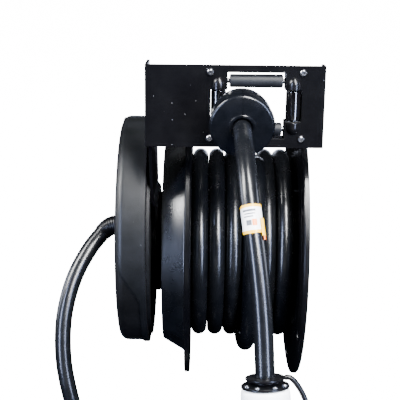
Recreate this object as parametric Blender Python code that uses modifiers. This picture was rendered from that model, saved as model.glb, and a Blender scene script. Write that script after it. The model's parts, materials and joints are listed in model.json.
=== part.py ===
"""Wall-mounted spring-return extension cord reel.

The drum hangs out to the right of a fixed hub on a hollow shaft. A spring case sits between the hub and
the drum, a round cover at the far left holds the slip rings, and an arm carries the roller guide that the
cable is drawn through. Everything is placed from the drum's axle: X runs along it to the right, Y runs back
to the wall and Z runs up. The origin is the middle of the bracket's face against the wall.
"""

import math

import bmesh
import bpy
from mathutils import Matrix, Vector

MM = 0.001
FIT = 0.3 * MM  # gap left between pieces that touch

# Place of the axle, from the middle of the bracket's wall face
AXLE_OUT = 175 * MM
AXLE_UP = 45 * MM

# Cable and supply lead
CABLE_DIAMETER = 17.6 * MM
TURN_GAP = 0.4 * MM  # between neighbouring turns
TURNS_ACROSS = 6

# Drum
FLANGE_RADIUS = 150 * MM
FLANGE_SHEET = 2.5 * MM
FLANGE_LIP = 6.5 * MM
LIP_SHEET = 4 * MM
LEFT_FLANGE_FACE = -9 * MM  # face of the left flange that the cable lies against
DRUM_WIDTH = 114 * MM
CORE_RADIUS = 60 * MM
CORE_WALL = 3 * MM
WINDING_RADIUS = 107 * MM
FEED_SWEEP = 300  # degrees that the paid-out turn lies round the others
FEED_POINTS = 26
DRUM_STEPS = 28  # flats round the core, shared by the cable that lies on it
LIGHTENING_HOLES = 6
LIGHTENING_RADIUS = 6 * MM
LIGHTENING_CIRCLE = 136 * MM
SHAFT_RADIUS = 10 * MM
SHAFT_BORE = 6 * MM
SHAFT_OVERHANG = 9 * MM
RETAINER_RADIUS = 16 * MM
RETAINER_WIDTH = 6 * MM

# Spring case, tapering towards the hub
CASE_LENGTH = 28.2 * MM
CASE_BIG_RADIUS = 126 * MM
CASE_SMALL_RADIUS = 112 * MM
CASE_RIM = 5 * MM
CASE_WALL = 3 * MM
CASE_WEB = 2.5 * MM
LID_SHEET = 2 * MM
LID_RECESS = 2.7 * MM
SPRING_TURNS = 6
SPRING_STRIP = 1.2 * MM

# Hub, bearings and ratchet
HUB_RADIUS = 57 * MM
HUB_FLANGE = 3 * MM
HUB_TO_CASE = 1.3 * MM
BARREL_WALL = 8 * MM
BARREL_LENGTH = 20.7 * MM
BEARING_WALL = 6 * MM
BEARING_WIDTH = 7 * MM
SHOULDER_CLEARANCE = 3 * MM  # round the shaft
ARBOR_RADIUS = 22 * MM
ARBOR_CLEARANCE = 2 * MM  # round the shaft
ARBOR_LENGTH = 23.5 * MM
RUNNING_GAP = 2 * MM
RATCHET_TEETH = 12
RATCHET_TIP = 38 * MM
RATCHET_ROOT = 34 * MM
RATCHET_PHASE = 9  # degrees to the first tooth's steep face
PAWL_PIVOT_RADIUS = 49 * MM
PAWL_PIN_RADIUS = 2.5 * MM
PAWL_EYE = 5 * MM
PAWL_LENGTH = 17 * MM
PAWL_LIFT_ANGLE = 4  # degrees above level that the lifted pawl points

# Frame sheets, from the hub flange outwards to the left
ARM_SHEET = 3 * MM
FRAME_SHEET = 4 * MM
BACK_PLATE_SHEET = 3 * MM

# Round cover at the left
COVER_RADIUS = 129 * MM
COVER_RISE = 14 * MM  # the cover's middle is this far above the axle
COVER_DEPTH = 32.5 * MM
COVER_WALL = 2.5 * MM
COVER_CORNER = 9 * MM
COVER_LIP = 17 * MM
BACK_PLATE_INSET = 9 * MM  # the back plate is this much smaller than the cover

# Slip rings and brushes
RING_CORE_RADIUS = 17 * MM
RING_CORE_LENGTH = 20 * MM
RING_RADIUS = 20 * MM
RING_WIDTH = 3.5 * MM
RING_PITCH = 6 * MM
RING_COUNT = 3
BRUSH_LENGTH = 6 * MM
BRUSH_THICK = 5 * MM
HOLDER_WIDTH = 26 * MM
HOLDER_HEIGHT = 30 * MM
TERMINAL_SIZE = (20 * MM, 40 * MM, 22 * MM)
TERMINAL_INSET = 59 * MM  # middle of the terminal block to the front of the cover
TERMINAL_Z = -20 * MM

# Bracket to the wall
BRACKET_SHEET = 4 * MM
BRACKET_HEIGHT = 100 * MM
BRACKET_HALF_WIDTH = 52 * MM
BRACKET_RETURN = 76 * MM
BRACKET_HOLE = 4.5 * MM
BRACKET_HOLE_X = 34 * MM
BRACKET_HOLE_Z = 35 * MM
FRAME_BOLT_RADIUS = 4 * MM
FRAME_BOLT_HEAD = 6.5 * MM
FRAME_BOLT_HEAD_HIGH = 5 * MM
FRAME_BOLT_SPREAD = 22 * MM
FRAME_BOLT_BACK = 42 * MM  # bolts to the wall
FRAME_END_BACK = 19 * MM  # end of the frame arm to the wall

# Guide plate, its arm and the roller cage
PLATE_FRONT = -125 * MM
PLATE_SHEET = 3 * MM
PLATE_LEFT = -55.5 * MM
PLATE_RIGHT = 118.5 * MM
PLATE_LOW = 134.5 * MM
PLATE_HIGH = 215.5 * MM
LEFT_RETURN = 42 * MM
RIGHT_RETURN = 18 * MM
WINDOW_X = 54 * MM
WINDOW_Z = 176 * MM
TALL_SLOT = (57 * MM, 65 * MM)
WIDE_SLOT = (89.6 * MM, 31 * MM)
CAGE_BAR = 4.2 * MM
CAGE_DEPTH = 17 * MM
ROLLER_AXIS = 7 * MM  # behind the plate's front face
ROLLER_UP = 23.7 * MM  # lying rollers, from the window's middle
ROLLER_ASIDE = 37 * MM  # standing rollers, from the window's middle
LYING_ROLLER_RADIUS = 6.5 * MM
LYING_ROLLER_LENGTH = 52.4 * MM
STANDING_ROLLER_RADIUS = 7.5 * MM
STANDING_ROLLER_LENGTH = 29.4 * MM
ROLLER_PIN_RADIUS = 2.5 * MM
PIN_SEAT = 5 * MM
SCREW_ACROSS = 45.3 * MM
SCREW_UP = 32.6 * MM
SCREW_RADIUS = 1.6 * MM
SCREW_HEAD_RADIUS = 3.8 * MM
SCREW_HEAD_HIGH = 2.4 * MM

# Ball stop, clamped on the cable in front of the rollers
BALL_PLACE = (39 * MM, -134.6 * MM, 171.2 * MM)  # middle of its rear face
BALL_TILT = math.radians(14)
BALL_RADIUS = 31.4 * MM
BALL_REAR_RADIUS = 27 * MM
BALL_LENGTH = 38 * MM
FEED_IN_BALL = 8 * MM

# Connector on the cable's end
GLAND_DISC_RADIUS = 17.7 * MM
GLAND_DISC_THICK = 2.5 * MM
GLAND_NECK_RADIUS = 10 * MM
GLAND_NECK_LENGTH = 5 * MM
COLLAR_RADIUS = 21.5 * MM
COLLAR_THICK = 4.5 * MM
BODY_RADIUS = 22 * MM
BODY_LENGTH = 62 * MM
CAP_RADIUS = 23.5 * MM
CAP_LENGTH = 14 * MM
STRAP_RADIUS = 2.5 * MM

# Route of the pulled cable from the ball stop, in millimetres from the axle
PULL_ROUTE = [
    (39, -171.9, 161.8),
    (39.3, -190, 157.3),
    (39.8, -209, 151),
    (40.6, -227, 142.2),
    (41.8, -243, 130),
    (43.6, -256.5, 114),
    (46, -267, 95),
    (49, -275.5, 74),
    (52, -282.5, 52),
    (54.6, -288.5, 29),
    (56.6, -293.8, 5),
    (58, -298.8, -19.2),
    (58.7, -301.6, -33.6),
]
# Route of the supply lead from its strain relief, in millimetres from the axle
SUPPLY_ROUTE = [
    (-106.8, -53, 23.3),
    (-116.2, -60, 13),
    (-124.8, -69, 0.6),
    (-132, -77, -12.4),
    (-138, -85, -27.5),
    (-142.6, -93, -45),
    (-145.4, -100, -64),
    (-146, -106, -86),
    (-144.4, -111, -109),
    (-140.6, -114, -131),
    (-136, -115, -153),
    (-132, -115.5, -176),
    (-129.6, -116, -198),
    (-129, -116, -219),
]
# The lead's spare length is tied in a round coil that hangs below, facing the front
COIL_TURNS = 2
COIL_RADIUS = 95 * MM
COIL_STUB = 66 * MM
COIL_STUB_INSET = 0.3 * MM
TAIL_LENGTH = 74 * MM
PLUG_RADIUS = 21 * MM
PLUG_LENGTH = 62 * MM
PIN_LENGTH = 19 * MM
PIN_RADIUS = 2.4 * MM
TIE_WIDTH = 8 * MM
TIE_THICK = 1.6 * MM

# Strain relief of the supply lead on the cover's face
RELIEF_PLACE = (-50 * MM, 32 * MM)  # Y and Z where it meets the cover
RELIEF_BASE_RADIUS = 13 * MM
RELIEF_BASE_THICK = 3 * MM
RELIEF_ROOT = 11.4 * MM
RELIEF_TIP = 2.5 * MM  # straight length at its thin end
GLAND_BARREL_RADIUS = 9 * MM
GLAND_NUT_RADIUS = 14 * MM
GLAND_NUT_THICK = 5 * MM

# Stations along the axle that follow from the sizes above
RIGHT_FLANGE_FACE = LEFT_FLANGE_FACE + DRUM_WIDTH
CASE_RIGHT = LEFT_FLANGE_FACE - FLANGE_SHEET - FIT
CASE_LEFT = CASE_RIGHT - CASE_LENGTH
LID_LEFT = CASE_LEFT + LID_RECESS
HUB_RIGHT = CASE_LEFT - HUB_TO_CASE
ARM_RIGHT = HUB_RIGHT - HUB_FLANGE - FIT
FRAME_RIGHT = ARM_RIGHT - ARM_SHEET - FIT
BACK_RIGHT = FRAME_RIGHT - FRAME_SHEET - FIT
BARREL_LEFT = HUB_RIGHT - BARREL_LENGTH
COVER_RIGHT = BACK_RIGHT - BACK_PLATE_SHEET - FIT
COVER_LEFT = COVER_RIGHT - COVER_DEPTH
SHAFT_LEFT = COVER_LEFT + COVER_WALL + 1.5 * MM
SHAFT_RIGHT = RIGHT_FLANGE_FACE + FLANGE_SHEET + SHAFT_OVERHANG

# Radii and places that follow from the sizes above
BEARING_RADIUS = SHAFT_RADIUS + BEARING_WALL
BARREL_RADIUS = BEARING_RADIUS + BARREL_WALL
SHOULDER_RADIUS = SHAFT_RADIUS + SHOULDER_CLEARANCE
ARBOR_BORE = SHAFT_RADIUS + ARBOR_CLEARANCE
BACK_PLATE_RADIUS = COVER_RADIUS - BACK_PLATE_INSET
TERMINAL_PLACE = (TERMINAL_INSET - COVER_RADIUS, TERMINAL_Z)  # Y and Z of its middle
TURN_PITCH = CABLE_DIAMETER + TURN_GAP
FRAME_BOLT_Y = AXLE_OUT - FRAME_BOLT_BACK
FRAME_END_Y = AXLE_OUT - FRAME_END_BACK
ROLLER_Y = PLATE_FRONT + ROLLER_AXIS

AXIS_ROTATION = {
    "X": (0, math.radians(90), 0),
    "Y": (math.radians(90), 0, 0),
    "Z": (0, 0, 0),
}
SHEET_ROTATION = {
    "X": (math.radians(90), 0, math.radians(90)),
    "Y": (math.radians(90), 0, 0),
    "Z": (0, 0, 0),
}


def clear_scene():
    for thing in list(bpy.data.objects):
        bpy.data.objects.remove(thing, do_unlink=True)


def collection(name):
    made = bpy.data.collections.new(name)
    bpy.context.scene.collection.children.link(made)
    return made


def material(name, colour, roughness, metallic=0.0):
    made = bpy.data.materials.new(name)
    made.use_nodes = True
    shader = made.node_tree.nodes["Principled BSDF"]
    shader.inputs["Base Color"].default_value = (*colour, 1.0)
    shader.inputs["Roughness"].default_value = roughness
    shader.inputs["Metallic"].default_value = metallic
    return made


clear_scene()
PARTS = collection("extension_cord_reel")
CUTTERS = collection("cutters")

AXLE = bpy.data.objects.new("axle", None)
AXLE.location = (0, -AXLE_OUT, AXLE_UP)
PARTS.objects.link(AXLE)

BLACK_SHEET = material("black powder coat", (0.012, 0.012, 0.013), 0.5)
CHARCOAL_SHELL = material("textured charcoal shell", (0.03, 0.03, 0.032), 0.6)
GLOSS_BLACK = material("gloss black moulding", (0.01, 0.01, 0.012), 0.15)
DULL_BLACK = material("dull black moulding", (0.015, 0.015, 0.016), 0.6)
RUBBER = material("black cable rubber", (0.02, 0.021, 0.024), 0.45)
WHITE_BODY = material("white moulding", (0.8, 0.8, 0.8), 0.4)
ZINC = material("zinc-plated steel", (0.6, 0.6, 0.6), 0.35, 1.0)
STEEL = material("turned steel", (0.45, 0.45, 0.46), 0.3, 1.0)
SPRING_STEEL = material("blued spring steel", (0.12, 0.13, 0.16), 0.35, 1.0)
COPPER = material("copper alloy", (0.75, 0.42, 0.2), 0.3, 1.0)
CARBON = material("brush carbon", (0.05, 0.05, 0.05), 0.7)
INSULATOR = material("insulating moulding", (0.55, 0.5, 0.38), 0.55)


def place(name, data, finish, centre=(0, 0, 0), rotation=(0, 0, 0)):
    """An object of the reel, placed from the axle."""
    made = bpy.data.objects.new(name, data)
    made.parent = AXLE
    made.location = centre
    made.rotation_euler = rotation
    PARTS.objects.link(made)
    if finish is not None:
        data.materials.append(finish)
    return made


def mesh_of(build):
    """A mesh filled by build(bm)."""
    mesh = bpy.data.meshes.new("shape")
    bm = bmesh.new()
    build(bm)
    bm.to_mesh(mesh)
    bm.free()
    return mesh


def turned(name, profile, finish, along="X", centre=(0, 0, 0), steps=32, rotation=None):
    """A turned piece. The profile holds (radius, height) pairs, down the outer side first."""
    mesh = bpy.data.meshes.new(name)
    last = len(profile) - 1
    open_profile = profile[0][0] == 0 and profile[last][0] == 0
    edges = [(i, i + 1) for i in range(last)] + ([] if open_profile else [(last, 0)])
    mesh.from_pydata([(radius, 0, height) for radius, height in profile], edges, [])
    made = place(name, mesh, finish, centre, rotation or AXIS_ROTATION[along])
    screw = made.modifiers.new("turn", "SCREW")
    screw.axis = "Z"
    screw.steps = screw.render_steps = steps
    screw.use_merge_vertices = True
    screw.merge_threshold = 0.00001
    screw.use_smooth_shade = True
    return made


def ring(name, outer, inner, low, high, finish, **kwargs):
    """A plain ring from low to high along its axis."""
    profile = [(outer, high), (outer, low), (inner, low), (inner, high)]
    return turned(name, profile, finish, **kwargs)


def box(name, low, high, finish):
    """A block between two corners."""
    size = [b - a for a, b in zip(low, high, strict=True)]
    middle = [(a + b) / 2 for a, b in zip(low, high, strict=True)]
    shape = mesh_of(lambda bm: bmesh.ops.create_cube(bm, size=1, matrix=Matrix.Diagonal((*size, 1))))
    return place(name, shape, finish, middle)


def rod(name, radius, length, finish, along="X", centre=(0, 0, 0), sides=16):
    """A cylinder with flat ends, centred on a point."""
    shape = mesh_of(
        lambda bm: bmesh.ops.create_cone(
            bm, cap_ends=True, segments=sides, radius1=radius, radius2=radius, depth=length
        )
    )
    return place(name, shape, finish, centre, AXIS_ROTATION[along])


def circle(x, y, radius, points=16, start=0.0, sweep=2 * math.pi):
    """Points round a circle, or round part of one."""
    count = points if sweep >= 2 * math.pi else points - 1
    return [
        (x + radius * math.cos(start + sweep * i / count), y + radius * math.sin(start + sweep * i / count))
        for i in range(points)
    ]


def as_mesh(thing, name):
    """Replace a curve object by the welded mesh of what it makes."""
    bpy.context.view_layer.update()
    seen = thing.evaluated_get(bpy.context.evaluated_depsgraph_get())
    mesh = bpy.data.meshes.new_from_object(seen)
    bm = bmesh.new()
    bm.from_mesh(mesh)
    bmesh.ops.remove_doubles(bm, verts=bm.verts, dist=0.000005)
    bmesh.ops.recalc_face_normals(bm, faces=bm.faces)
    bm.to_mesh(mesh)
    bm.free()
    finish = thing.data.materials[0] if thing.data.materials else None
    centre, rotation = thing.location.copy(), thing.rotation_euler.copy()
    bpy.data.objects.remove(thing, do_unlink=True)
    mesh.materials.clear()
    return place(name, mesh, finish, centre, rotation)


def sheet(name, outlines, low, high, finish, facing="X"):
    """A flat outline with its holes, as thick as from low to high along the axis that it faces."""
    curve = bpy.data.curves.new(name, "CURVE")
    curve.dimensions = "2D"
    curve.fill_mode = "BOTH"
    curve.extrude = (high - low) / 2
    for outline in outlines:
        spline = curve.splines.new("POLY")
        spline.points.add(len(outline) - 1)
        for point, (x, y) in zip(spline.points, outline, strict=True):
            point.co = (x, y, 0, 1)
        spline.use_cyclic_u = True
    middle = (low + high) / 2
    centre = {"X": (middle, 0, 0), "Y": (0, middle, 0), "Z": (0, 0, middle)}[facing]
    return as_mesh(place(name, curve, finish, centre, SHEET_ROTATION[facing]), name)


def tube(name, points, radius, finish, resolution=2, tapers=None):
    """A round tube along points, with closed ends."""
    curve = bpy.data.curves.new(name, "CURVE")
    curve.dimensions = "3D"
    curve.bevel_depth = radius
    curve.bevel_resolution = resolution
    curve.use_fill_caps = True
    spline = curve.splines.new("POLY")
    spline.points.add(len(points) - 1)
    for i, point in enumerate(points):
        spline.points[i].co = (*point, 1)
        spline.points[i].radius = tapers[i] if tapers else 1.0
    return place(name, curve, finish)


def smooth(route, spacing):
    """Points a near-even step apart on a smooth curve through the route's own points."""
    knots = [Vector(point) * MM for point in route]
    ends = [knots[0] * 2 - knots[1], *knots, knots[-1] * 2 - knots[-2]]
    found = []
    for a, b, c, d in zip(ends, ends[1:], ends[2:], ends[3:]):
        steps = max(1, round((c - b).length / spacing))
        for step in range(steps):
            t = step / steps
            found.append(
                0.5
                * (
                    2 * b
                    + (c - a) * t
                    + (2 * a - 5 * b + 4 * c - d) * t * t
                    + (3 * b - a - 3 * c + d) * t * t * t
                )
            )
    return [*found, knots[-1]]


def combine(thing, tool, operation):
    """Cut or join a piece by another, which then counts only as a tool."""
    for group in tool.users_collection:
        group.objects.unlink(tool)
    CUTTERS.objects.link(tool)
    tool.hide_render = True
    tool.display_type = "WIRE"
    tool.name = "tool_" + tool.name
    step = thing.modifiers.new(operation.lower(), "BOOLEAN")
    step.operation = operation
    step.solver = "EXACT"
    step.object = tool
    return thing


def polar(radius, degrees):
    return radius * math.cos(math.radians(degrees)), radius * math.sin(math.radians(degrees))


# ---------------------------------------------------------------- fixed frame


def wall_bracket():
    """A sheet bent into an L: one leg lies on the wall, the other runs forward to the frame arm."""
    left = FRAME_RIGHT + FIT
    front = AXLE_OUT - BRACKET_RETURN
    bend = 2 * BRACKET_SHEET
    corner = (left + bend, AXLE_OUT - bend)
    outline = [
        (left, front),
        (left + BRACKET_SHEET, front),
        *circle(*corner, bend - BRACKET_SHEET, 5, math.pi, -math.pi / 2),
        (BRACKET_HALF_WIDTH, AXLE_OUT - BRACKET_SHEET),
        (BRACKET_HALF_WIDTH, AXLE_OUT),
        *circle(*corner, bend, 5, math.pi / 2, math.pi / 2),
    ]
    middle = -AXLE_UP
    made = sheet(
        "wall_bracket", [outline], middle - BRACKET_HEIGHT / 2, middle + BRACKET_HEIGHT / 2, BLACK_SHEET, "Z"
    )
    for x in (-1, 1):
        for z in (-1, 1):
            spot = (x * BRACKET_HOLE_X, AXLE_OUT, middle + z * BRACKET_HOLE_Z)
            combine(made, rod("hole", BRACKET_HOLE, 4 * BRACKET_SHEET, None, "Y", spot), "DIFFERENCE")
    for z in (-1, 1):
        spot = (left, FRAME_BOLT_Y, middle + z * FRAME_BOLT_SPREAD)
        hole = rod("hole", FRAME_BOLT_RADIUS + FIT, 4 * BRACKET_SHEET, None, "X", spot)
        combine(made, hole, "DIFFERENCE")


def frame_arm():
    """A flat arm: round at the hub, and dropping back to the bracket."""
    middle = -AXLE_UP
    half = BRACKET_HEIGHT / 2 - 3 * MM
    outline = [
        *circle(0, 0, HUB_RADIUS, 25, math.radians(62), math.radians(222)),
        (FRAME_END_Y, middle - half),
        (FRAME_END_Y, middle + half),
    ]
    bolts = [
        circle(FRAME_BOLT_Y, middle + z * FRAME_BOLT_SPREAD, FRAME_BOLT_RADIUS + FIT) for z in (-1, 1)
    ]
    bore = circle(0, 0, BARREL_RADIUS + FIT, 32)
    sheet("frame_arm", [outline, bore, *bolts], FRAME_RIGHT - FRAME_SHEET, FRAME_RIGHT, BLACK_SHEET)


def frame_bolts():
    """Bolts that clamp the frame arm to the bracket's forward leg."""
    seat = FRAME_RIGHT - FRAME_SHEET - FIT
    tip = FRAME_RIGHT + FIT + BRACKET_SHEET + 3 * MM
    profile = [
        (0, tip),
        (FRAME_BOLT_RADIUS, tip),
        (FRAME_BOLT_RADIUS, seat),
        (FRAME_BOLT_HEAD, seat),
        (FRAME_BOLT_HEAD, seat - FRAME_BOLT_HEAD_HIGH),
        (0, seat - FRAME_BOLT_HEAD_HIGH),
    ]
    for number, z in enumerate((1, -1), 1):
        spot = (0, FRAME_BOLT_Y, -AXLE_UP + z * FRAME_BOLT_SPREAD)
        turned(f"frame_bolt_{number}", profile, ZINC, centre=spot, steps=12)


def hub_housing():
    """Flanged bearing housing, with the pin that the ratchet pawl turns on."""
    rib = (HUB_RIGHT - BEARING_WIDTH - FIT, BARREL_LEFT + BEARING_WIDTH + FIT)
    bore = BEARING_RADIUS + FIT
    made = turned(
        "hub_housing",
        [
            (HUB_RADIUS, HUB_RIGHT),
            (HUB_RADIUS, HUB_RIGHT - HUB_FLANGE),
            (BARREL_RADIUS, HUB_RIGHT - HUB_FLANGE),
            (BARREL_RADIUS, BARREL_LEFT),
            (bore, BARREL_LEFT),
            (bore, rib[1]),
            (SHOULDER_RADIUS, rib[1]),
            (SHOULDER_RADIUS, rib[0]),
            (bore, rib[0]),
            (bore, HUB_RIGHT),
        ],
        STEEL,
        steps=28,
    )
    y, z = PAWL_PIVOT
    start = HUB_RIGHT - HUB_FLANGE / 2
    end = LID_LEFT - FIT
    pin = rod("pawl_pin", PAWL_PIN_RADIUS, end - start, None, "X", ((start + end) / 2, y, z), 12)
    combine(made, pin, "UNION")


def bearings():
    """One bearing at each end of the housing's bore."""
    bore = SHAFT_RADIUS + FIT
    right = HUB_RIGHT
    left = BARREL_LEFT + BEARING_WIDTH
    for name, high in (("bearing_right", right), ("bearing_left", left)):
        ring(name, BEARING_RADIUS, bore, high - BEARING_WIDTH, high, STEEL, steps=20)


def spring_arbor():
    """Sleeve on the hub's face that the mainspring's inner end is hooked to."""
    low = HUB_RIGHT + FIT
    ring("spring_arbor", ARBOR_RADIUS, ARBOR_BORE, low, low + ARBOR_LENGTH, STEEL, steps=24)


# ---------------------------------------------------------------- cover and electrical parts


def cover_back_plate():
    bore = circle(0, 0, BARREL_RADIUS + FIT, 32)
    outline = circle(0, COVER_RISE, BACK_PLATE_RADIUS, 48)
    sheet("cover_back_plate", [outline, bore], BACK_RIGHT - BACK_PLATE_SHEET, BACK_RIGHT, BLACK_SHEET)


def cover_shell():
    """Dished round shell with an inward lip that is screwed to the back plate."""
    inner = COVER_RADIUS - COVER_WALL
    face = COVER_LEFT
    floor = COVER_LEFT + COVER_WALL
    centre = COVER_RADIUS - COVER_CORNER
    outer_arc = [
        (centre + COVER_CORNER * math.cos(a), face + COVER_CORNER - COVER_CORNER * math.sin(a))
        for a in (math.radians(d) for d in (0, 30, 60, 90))
    ]
    inner_corner = COVER_CORNER - COVER_WALL
    inner_arc = [
        (centre + inner_corner * math.cos(a), floor + inner_corner - inner_corner * math.sin(a))
        for a in (math.radians(d) for d in (90, 30))
    ]
    made = turned(
        "cover_shell",
        [
            (COVER_RADIUS, COVER_RIGHT),
            *outer_arc,
            (0, face),
            (0, floor),
            *inner_arc,
            (inner, COVER_RIGHT - COVER_WALL),
            (COVER_RADIUS - COVER_LIP, COVER_RIGHT - COVER_WALL),
            (COVER_RADIUS - COVER_LIP, COVER_RIGHT),
        ],
        CHARCOAL_SHELL,
        centre=(0, 0, COVER_RISE),
        steps=40,
    )
    y, z = RELIEF_PLACE
    hole = rod("gland_hole", GLAND_BARREL_RADIUS + FIT, 4 * COVER_WALL, None, "X", (face, y, z))
    combine(made, hole, "DIFFERENCE")


def slip_rings():
    """Three copper rings on an insulating core, with a carbon brush on each."""
    low = SHAFT_LEFT
    high = low + RING_CORE_LENGTH
    ring("slip_ring_core", RING_CORE_RADIUS, SHAFT_RADIUS + FIT, low, high, INSULATOR, steps=18)
    holder_low = RING_RADIUS + FIT + BRUSH_LENGTH
    middle = (low + high) / 2
    for number in range(1, RING_COUNT + 1):
        x = middle + (number - (RING_COUNT + 1) / 2) * RING_PITCH
        half = RING_WIDTH / 2
        name = f"slip_ring_{number}"
        ring(name, RING_RADIUS, RING_CORE_RADIUS + FIT, x - half, x + half, COPPER, steps=18)
        box(
            f"brush_{number}",
            (x - half, -BRUSH_THICK / 2, RING_RADIUS + FIT),
            (x + half, BRUSH_THICK / 2, holder_low - FIT),
            CARBON,
        )
    box(
        "brush_holder",
        (low, -HOLDER_WIDTH / 2, holder_low),
        (COVER_RIGHT, HOLDER_WIDTH / 2, holder_low + HOLDER_HEIGHT),
        INSULATOR,
    )


def terminal_block():
    y, z = TERMINAL_PLACE
    deep, wide, high = TERMINAL_SIZE
    box(
        "terminal_block",
        (COVER_RIGHT - deep, y - wide / 2, z - high / 2),
        (COVER_RIGHT, y + wide / 2, z + high / 2),
        INSULATOR,
    )


def supply_gland():
    """Threaded gland that clamps the lead in the cover's face, nut inside."""
    y, z = RELIEF_PLACE
    floor = COVER_LEFT + COVER_WALL + FIT
    nut = floor + GLAND_NUT_THICK
    profile = [
        (0, nut),
        (GLAND_NUT_RADIUS, nut),
        (GLAND_NUT_RADIUS, floor),
        (GLAND_BARREL_RADIUS, floor),
        (GLAND_BARREL_RADIUS, COVER_LEFT),
        (0, COVER_LEFT),
    ]
    turned("supply_gland", profile, DULL_BLACK, centre=(0, y, z), steps=16)


def supply_relief():
    """Tapered rubber elbow that turns the lead down as it leaves the cover."""
    y, z = RELIEF_PLACE
    face = COVER_LEFT - FIT
    start = Vector((face - 0.75 * RELIEF_BASE_THICK, y, z))  # inside the base, so its tilted end is buried
    end = Vector(SUPPLY_ROUTE[0]) * MM
    onward = (Vector(SUPPLY_ROUTE[1]) * MM - end).normalized()
    tip_end = end - onward * FIT
    end = tip_end - onward * RELIEF_TIP
    first = start + Vector((-0.4, 0, 0)) * (end - start).length
    last = end - onward * 0.35 * (end - start).length
    points = []
    steps = 7
    for i in range(steps + 1):
        t = i / steps
        a = start.lerp(first, t)
        b = first.lerp(last, t)
        c = last.lerp(end, t)
        points.append(a.lerp(b, t).lerp(b.lerp(c, t), t))
    points.append(tip_end)
    tip = (CABLE_DIAMETER / 2 + 0.7 * MM) / RELIEF_ROOT
    tapers = [1 + (tip - 1) * i / (steps + 1) for i in range(steps + 2)]
    made = as_mesh(tube("relief_sleeve", points, RELIEF_ROOT, DULL_BLACK, 3, tapers), "supply_relief")
    base_low = face - RELIEF_BASE_THICK
    spot = ((face + base_low) / 2, y, z)
    combine(made, rod("relief_base", RELIEF_BASE_RADIUS, RELIEF_BASE_THICK, None, "X", spot, 20), "UNION")


# ---------------------------------------------------------------- supply lead, coil and plug


def coil_centre():
    """Middle of the hanging coil: the lead runs down into the front of its left side."""
    end = Vector(SUPPLY_ROUTE[-1]) * MM
    back = COIL_TURNS * CABLE_DIAMETER / 2
    return Vector((end.x + COIL_RADIUS, end.y + back, end.z - FIT - COIL_STUB))


def coil_half_width():
    return (COIL_TURNS + 1) * CABLE_DIAMETER / 2


def supply_lead():
    route = smooth(SUPPLY_ROUTE, 2.5 * CABLE_DIAMETER)
    tube("supply_lead", route, CABLE_DIAMETER / 2, RUBBER, 2)


def supply_coil():
    """The tied coil, with the straight ends of the lead running into and out of its turns.

    Its turns lie side by side, and one more diameter holds the lead that passes them.
    """
    middle = coil_centre()
    half_wide = coil_half_width()
    half_thick = CABLE_DIAMETER / 2
    corner = CABLE_DIAMETER / 4
    outer = COIL_RADIUS + half_thick
    inner = COIL_RADIUS - half_thick
    made = turned(
        "supply_coil",
        [
            (outer - corner, half_wide),
            (outer, half_wide - corner),
            (outer, corner - half_wide),
            (outer - corner, -half_wide),
            (inner + corner, -half_wide),
            (inner, corner - half_wide),
            (inner, half_wide - corner),
            (inner + corner, half_wide),
        ],
        RUBBER,
        along="Y",
        centre=middle,
        steps=36,
    )
    x = middle.x - COIL_RADIUS
    lead_y = middle.y - COIL_TURNS * CABLE_DIAMETER / 2
    tail_y = middle.y + COIL_TURNS * CABLE_DIAMETER / 2
    stub = half_thick - COIL_STUB_INSET
    inlet = rod("inlet", stub, COIL_STUB, None, "Z", (x, lead_y, middle.z + COIL_STUB / 2), 12)
    outlet = rod("outlet", stub, TAIL_LENGTH, None, "Z", (x, tail_y, middle.z - TAIL_LENGTH / 2), 12)
    combine(made, inlet, "UNION")
    combine(made, outlet, "UNION")


def supply_tie():
    """Strap round both turns at the top of the coil."""
    middle = coil_centre()
    inside = (coil_half_width() + FIT, CABLE_DIAMETER / 2 + 2 * FIT)
    outside = tuple(size + TIE_THICK for size in inside)
    z = middle.z + COIL_RADIUS
    outlines = [
        [(middle.y + sy * y, z + sz * h) for sy, sz in ((-1, -1), (1, -1), (1, 1), (-1, 1))]
        for y, h in (outside, inside)
    ]
    half = TIE_WIDTH / 2
    sheet("supply_tie", outlines, middle.x - half, middle.x + half, DULL_BLACK)


def supply_plug():
    """Plug body and its pins on the tail of the lead."""
    middle = coil_centre()
    x = middle.x - COIL_RADIUS
    y = middle.y + COIL_TURNS * CABLE_DIAMETER / 2
    top = middle.z - TAIL_LENGTH - FIT
    neck = CABLE_DIAMETER / 2 + 2 * MM
    shoulder = top - 0.4 * PLUG_LENGTH
    bottom = top - PLUG_LENGTH
    turned(
        "supply_plug",
        [(0, top), (neck, top), (PLUG_RADIUS, shoulder), (PLUG_RADIUS, bottom), (0, bottom)],
        GLOSS_BLACK,
        along="Z",
        centre=(x, y, 0),
        steps=24,
    )
    face = 3 * MM
    seat = bottom - FIT
    made = rod("plug_pins", PLUG_RADIUS - 2 * MM, face, COPPER, "Z", (x, y, seat - face / 2), 20)
    for degrees in (90, 210, 330):
        dx, dy = polar(PLUG_RADIUS / 2, degrees)
        spot = (x + dx, y + dy, seat - face / 2 - PIN_LENGTH / 2)
        combine(made, rod("pin", PIN_RADIUS, PIN_LENGTH, None, "Z", spot, 10), "UNION")


# ---------------------------------------------------------------- guide


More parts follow.
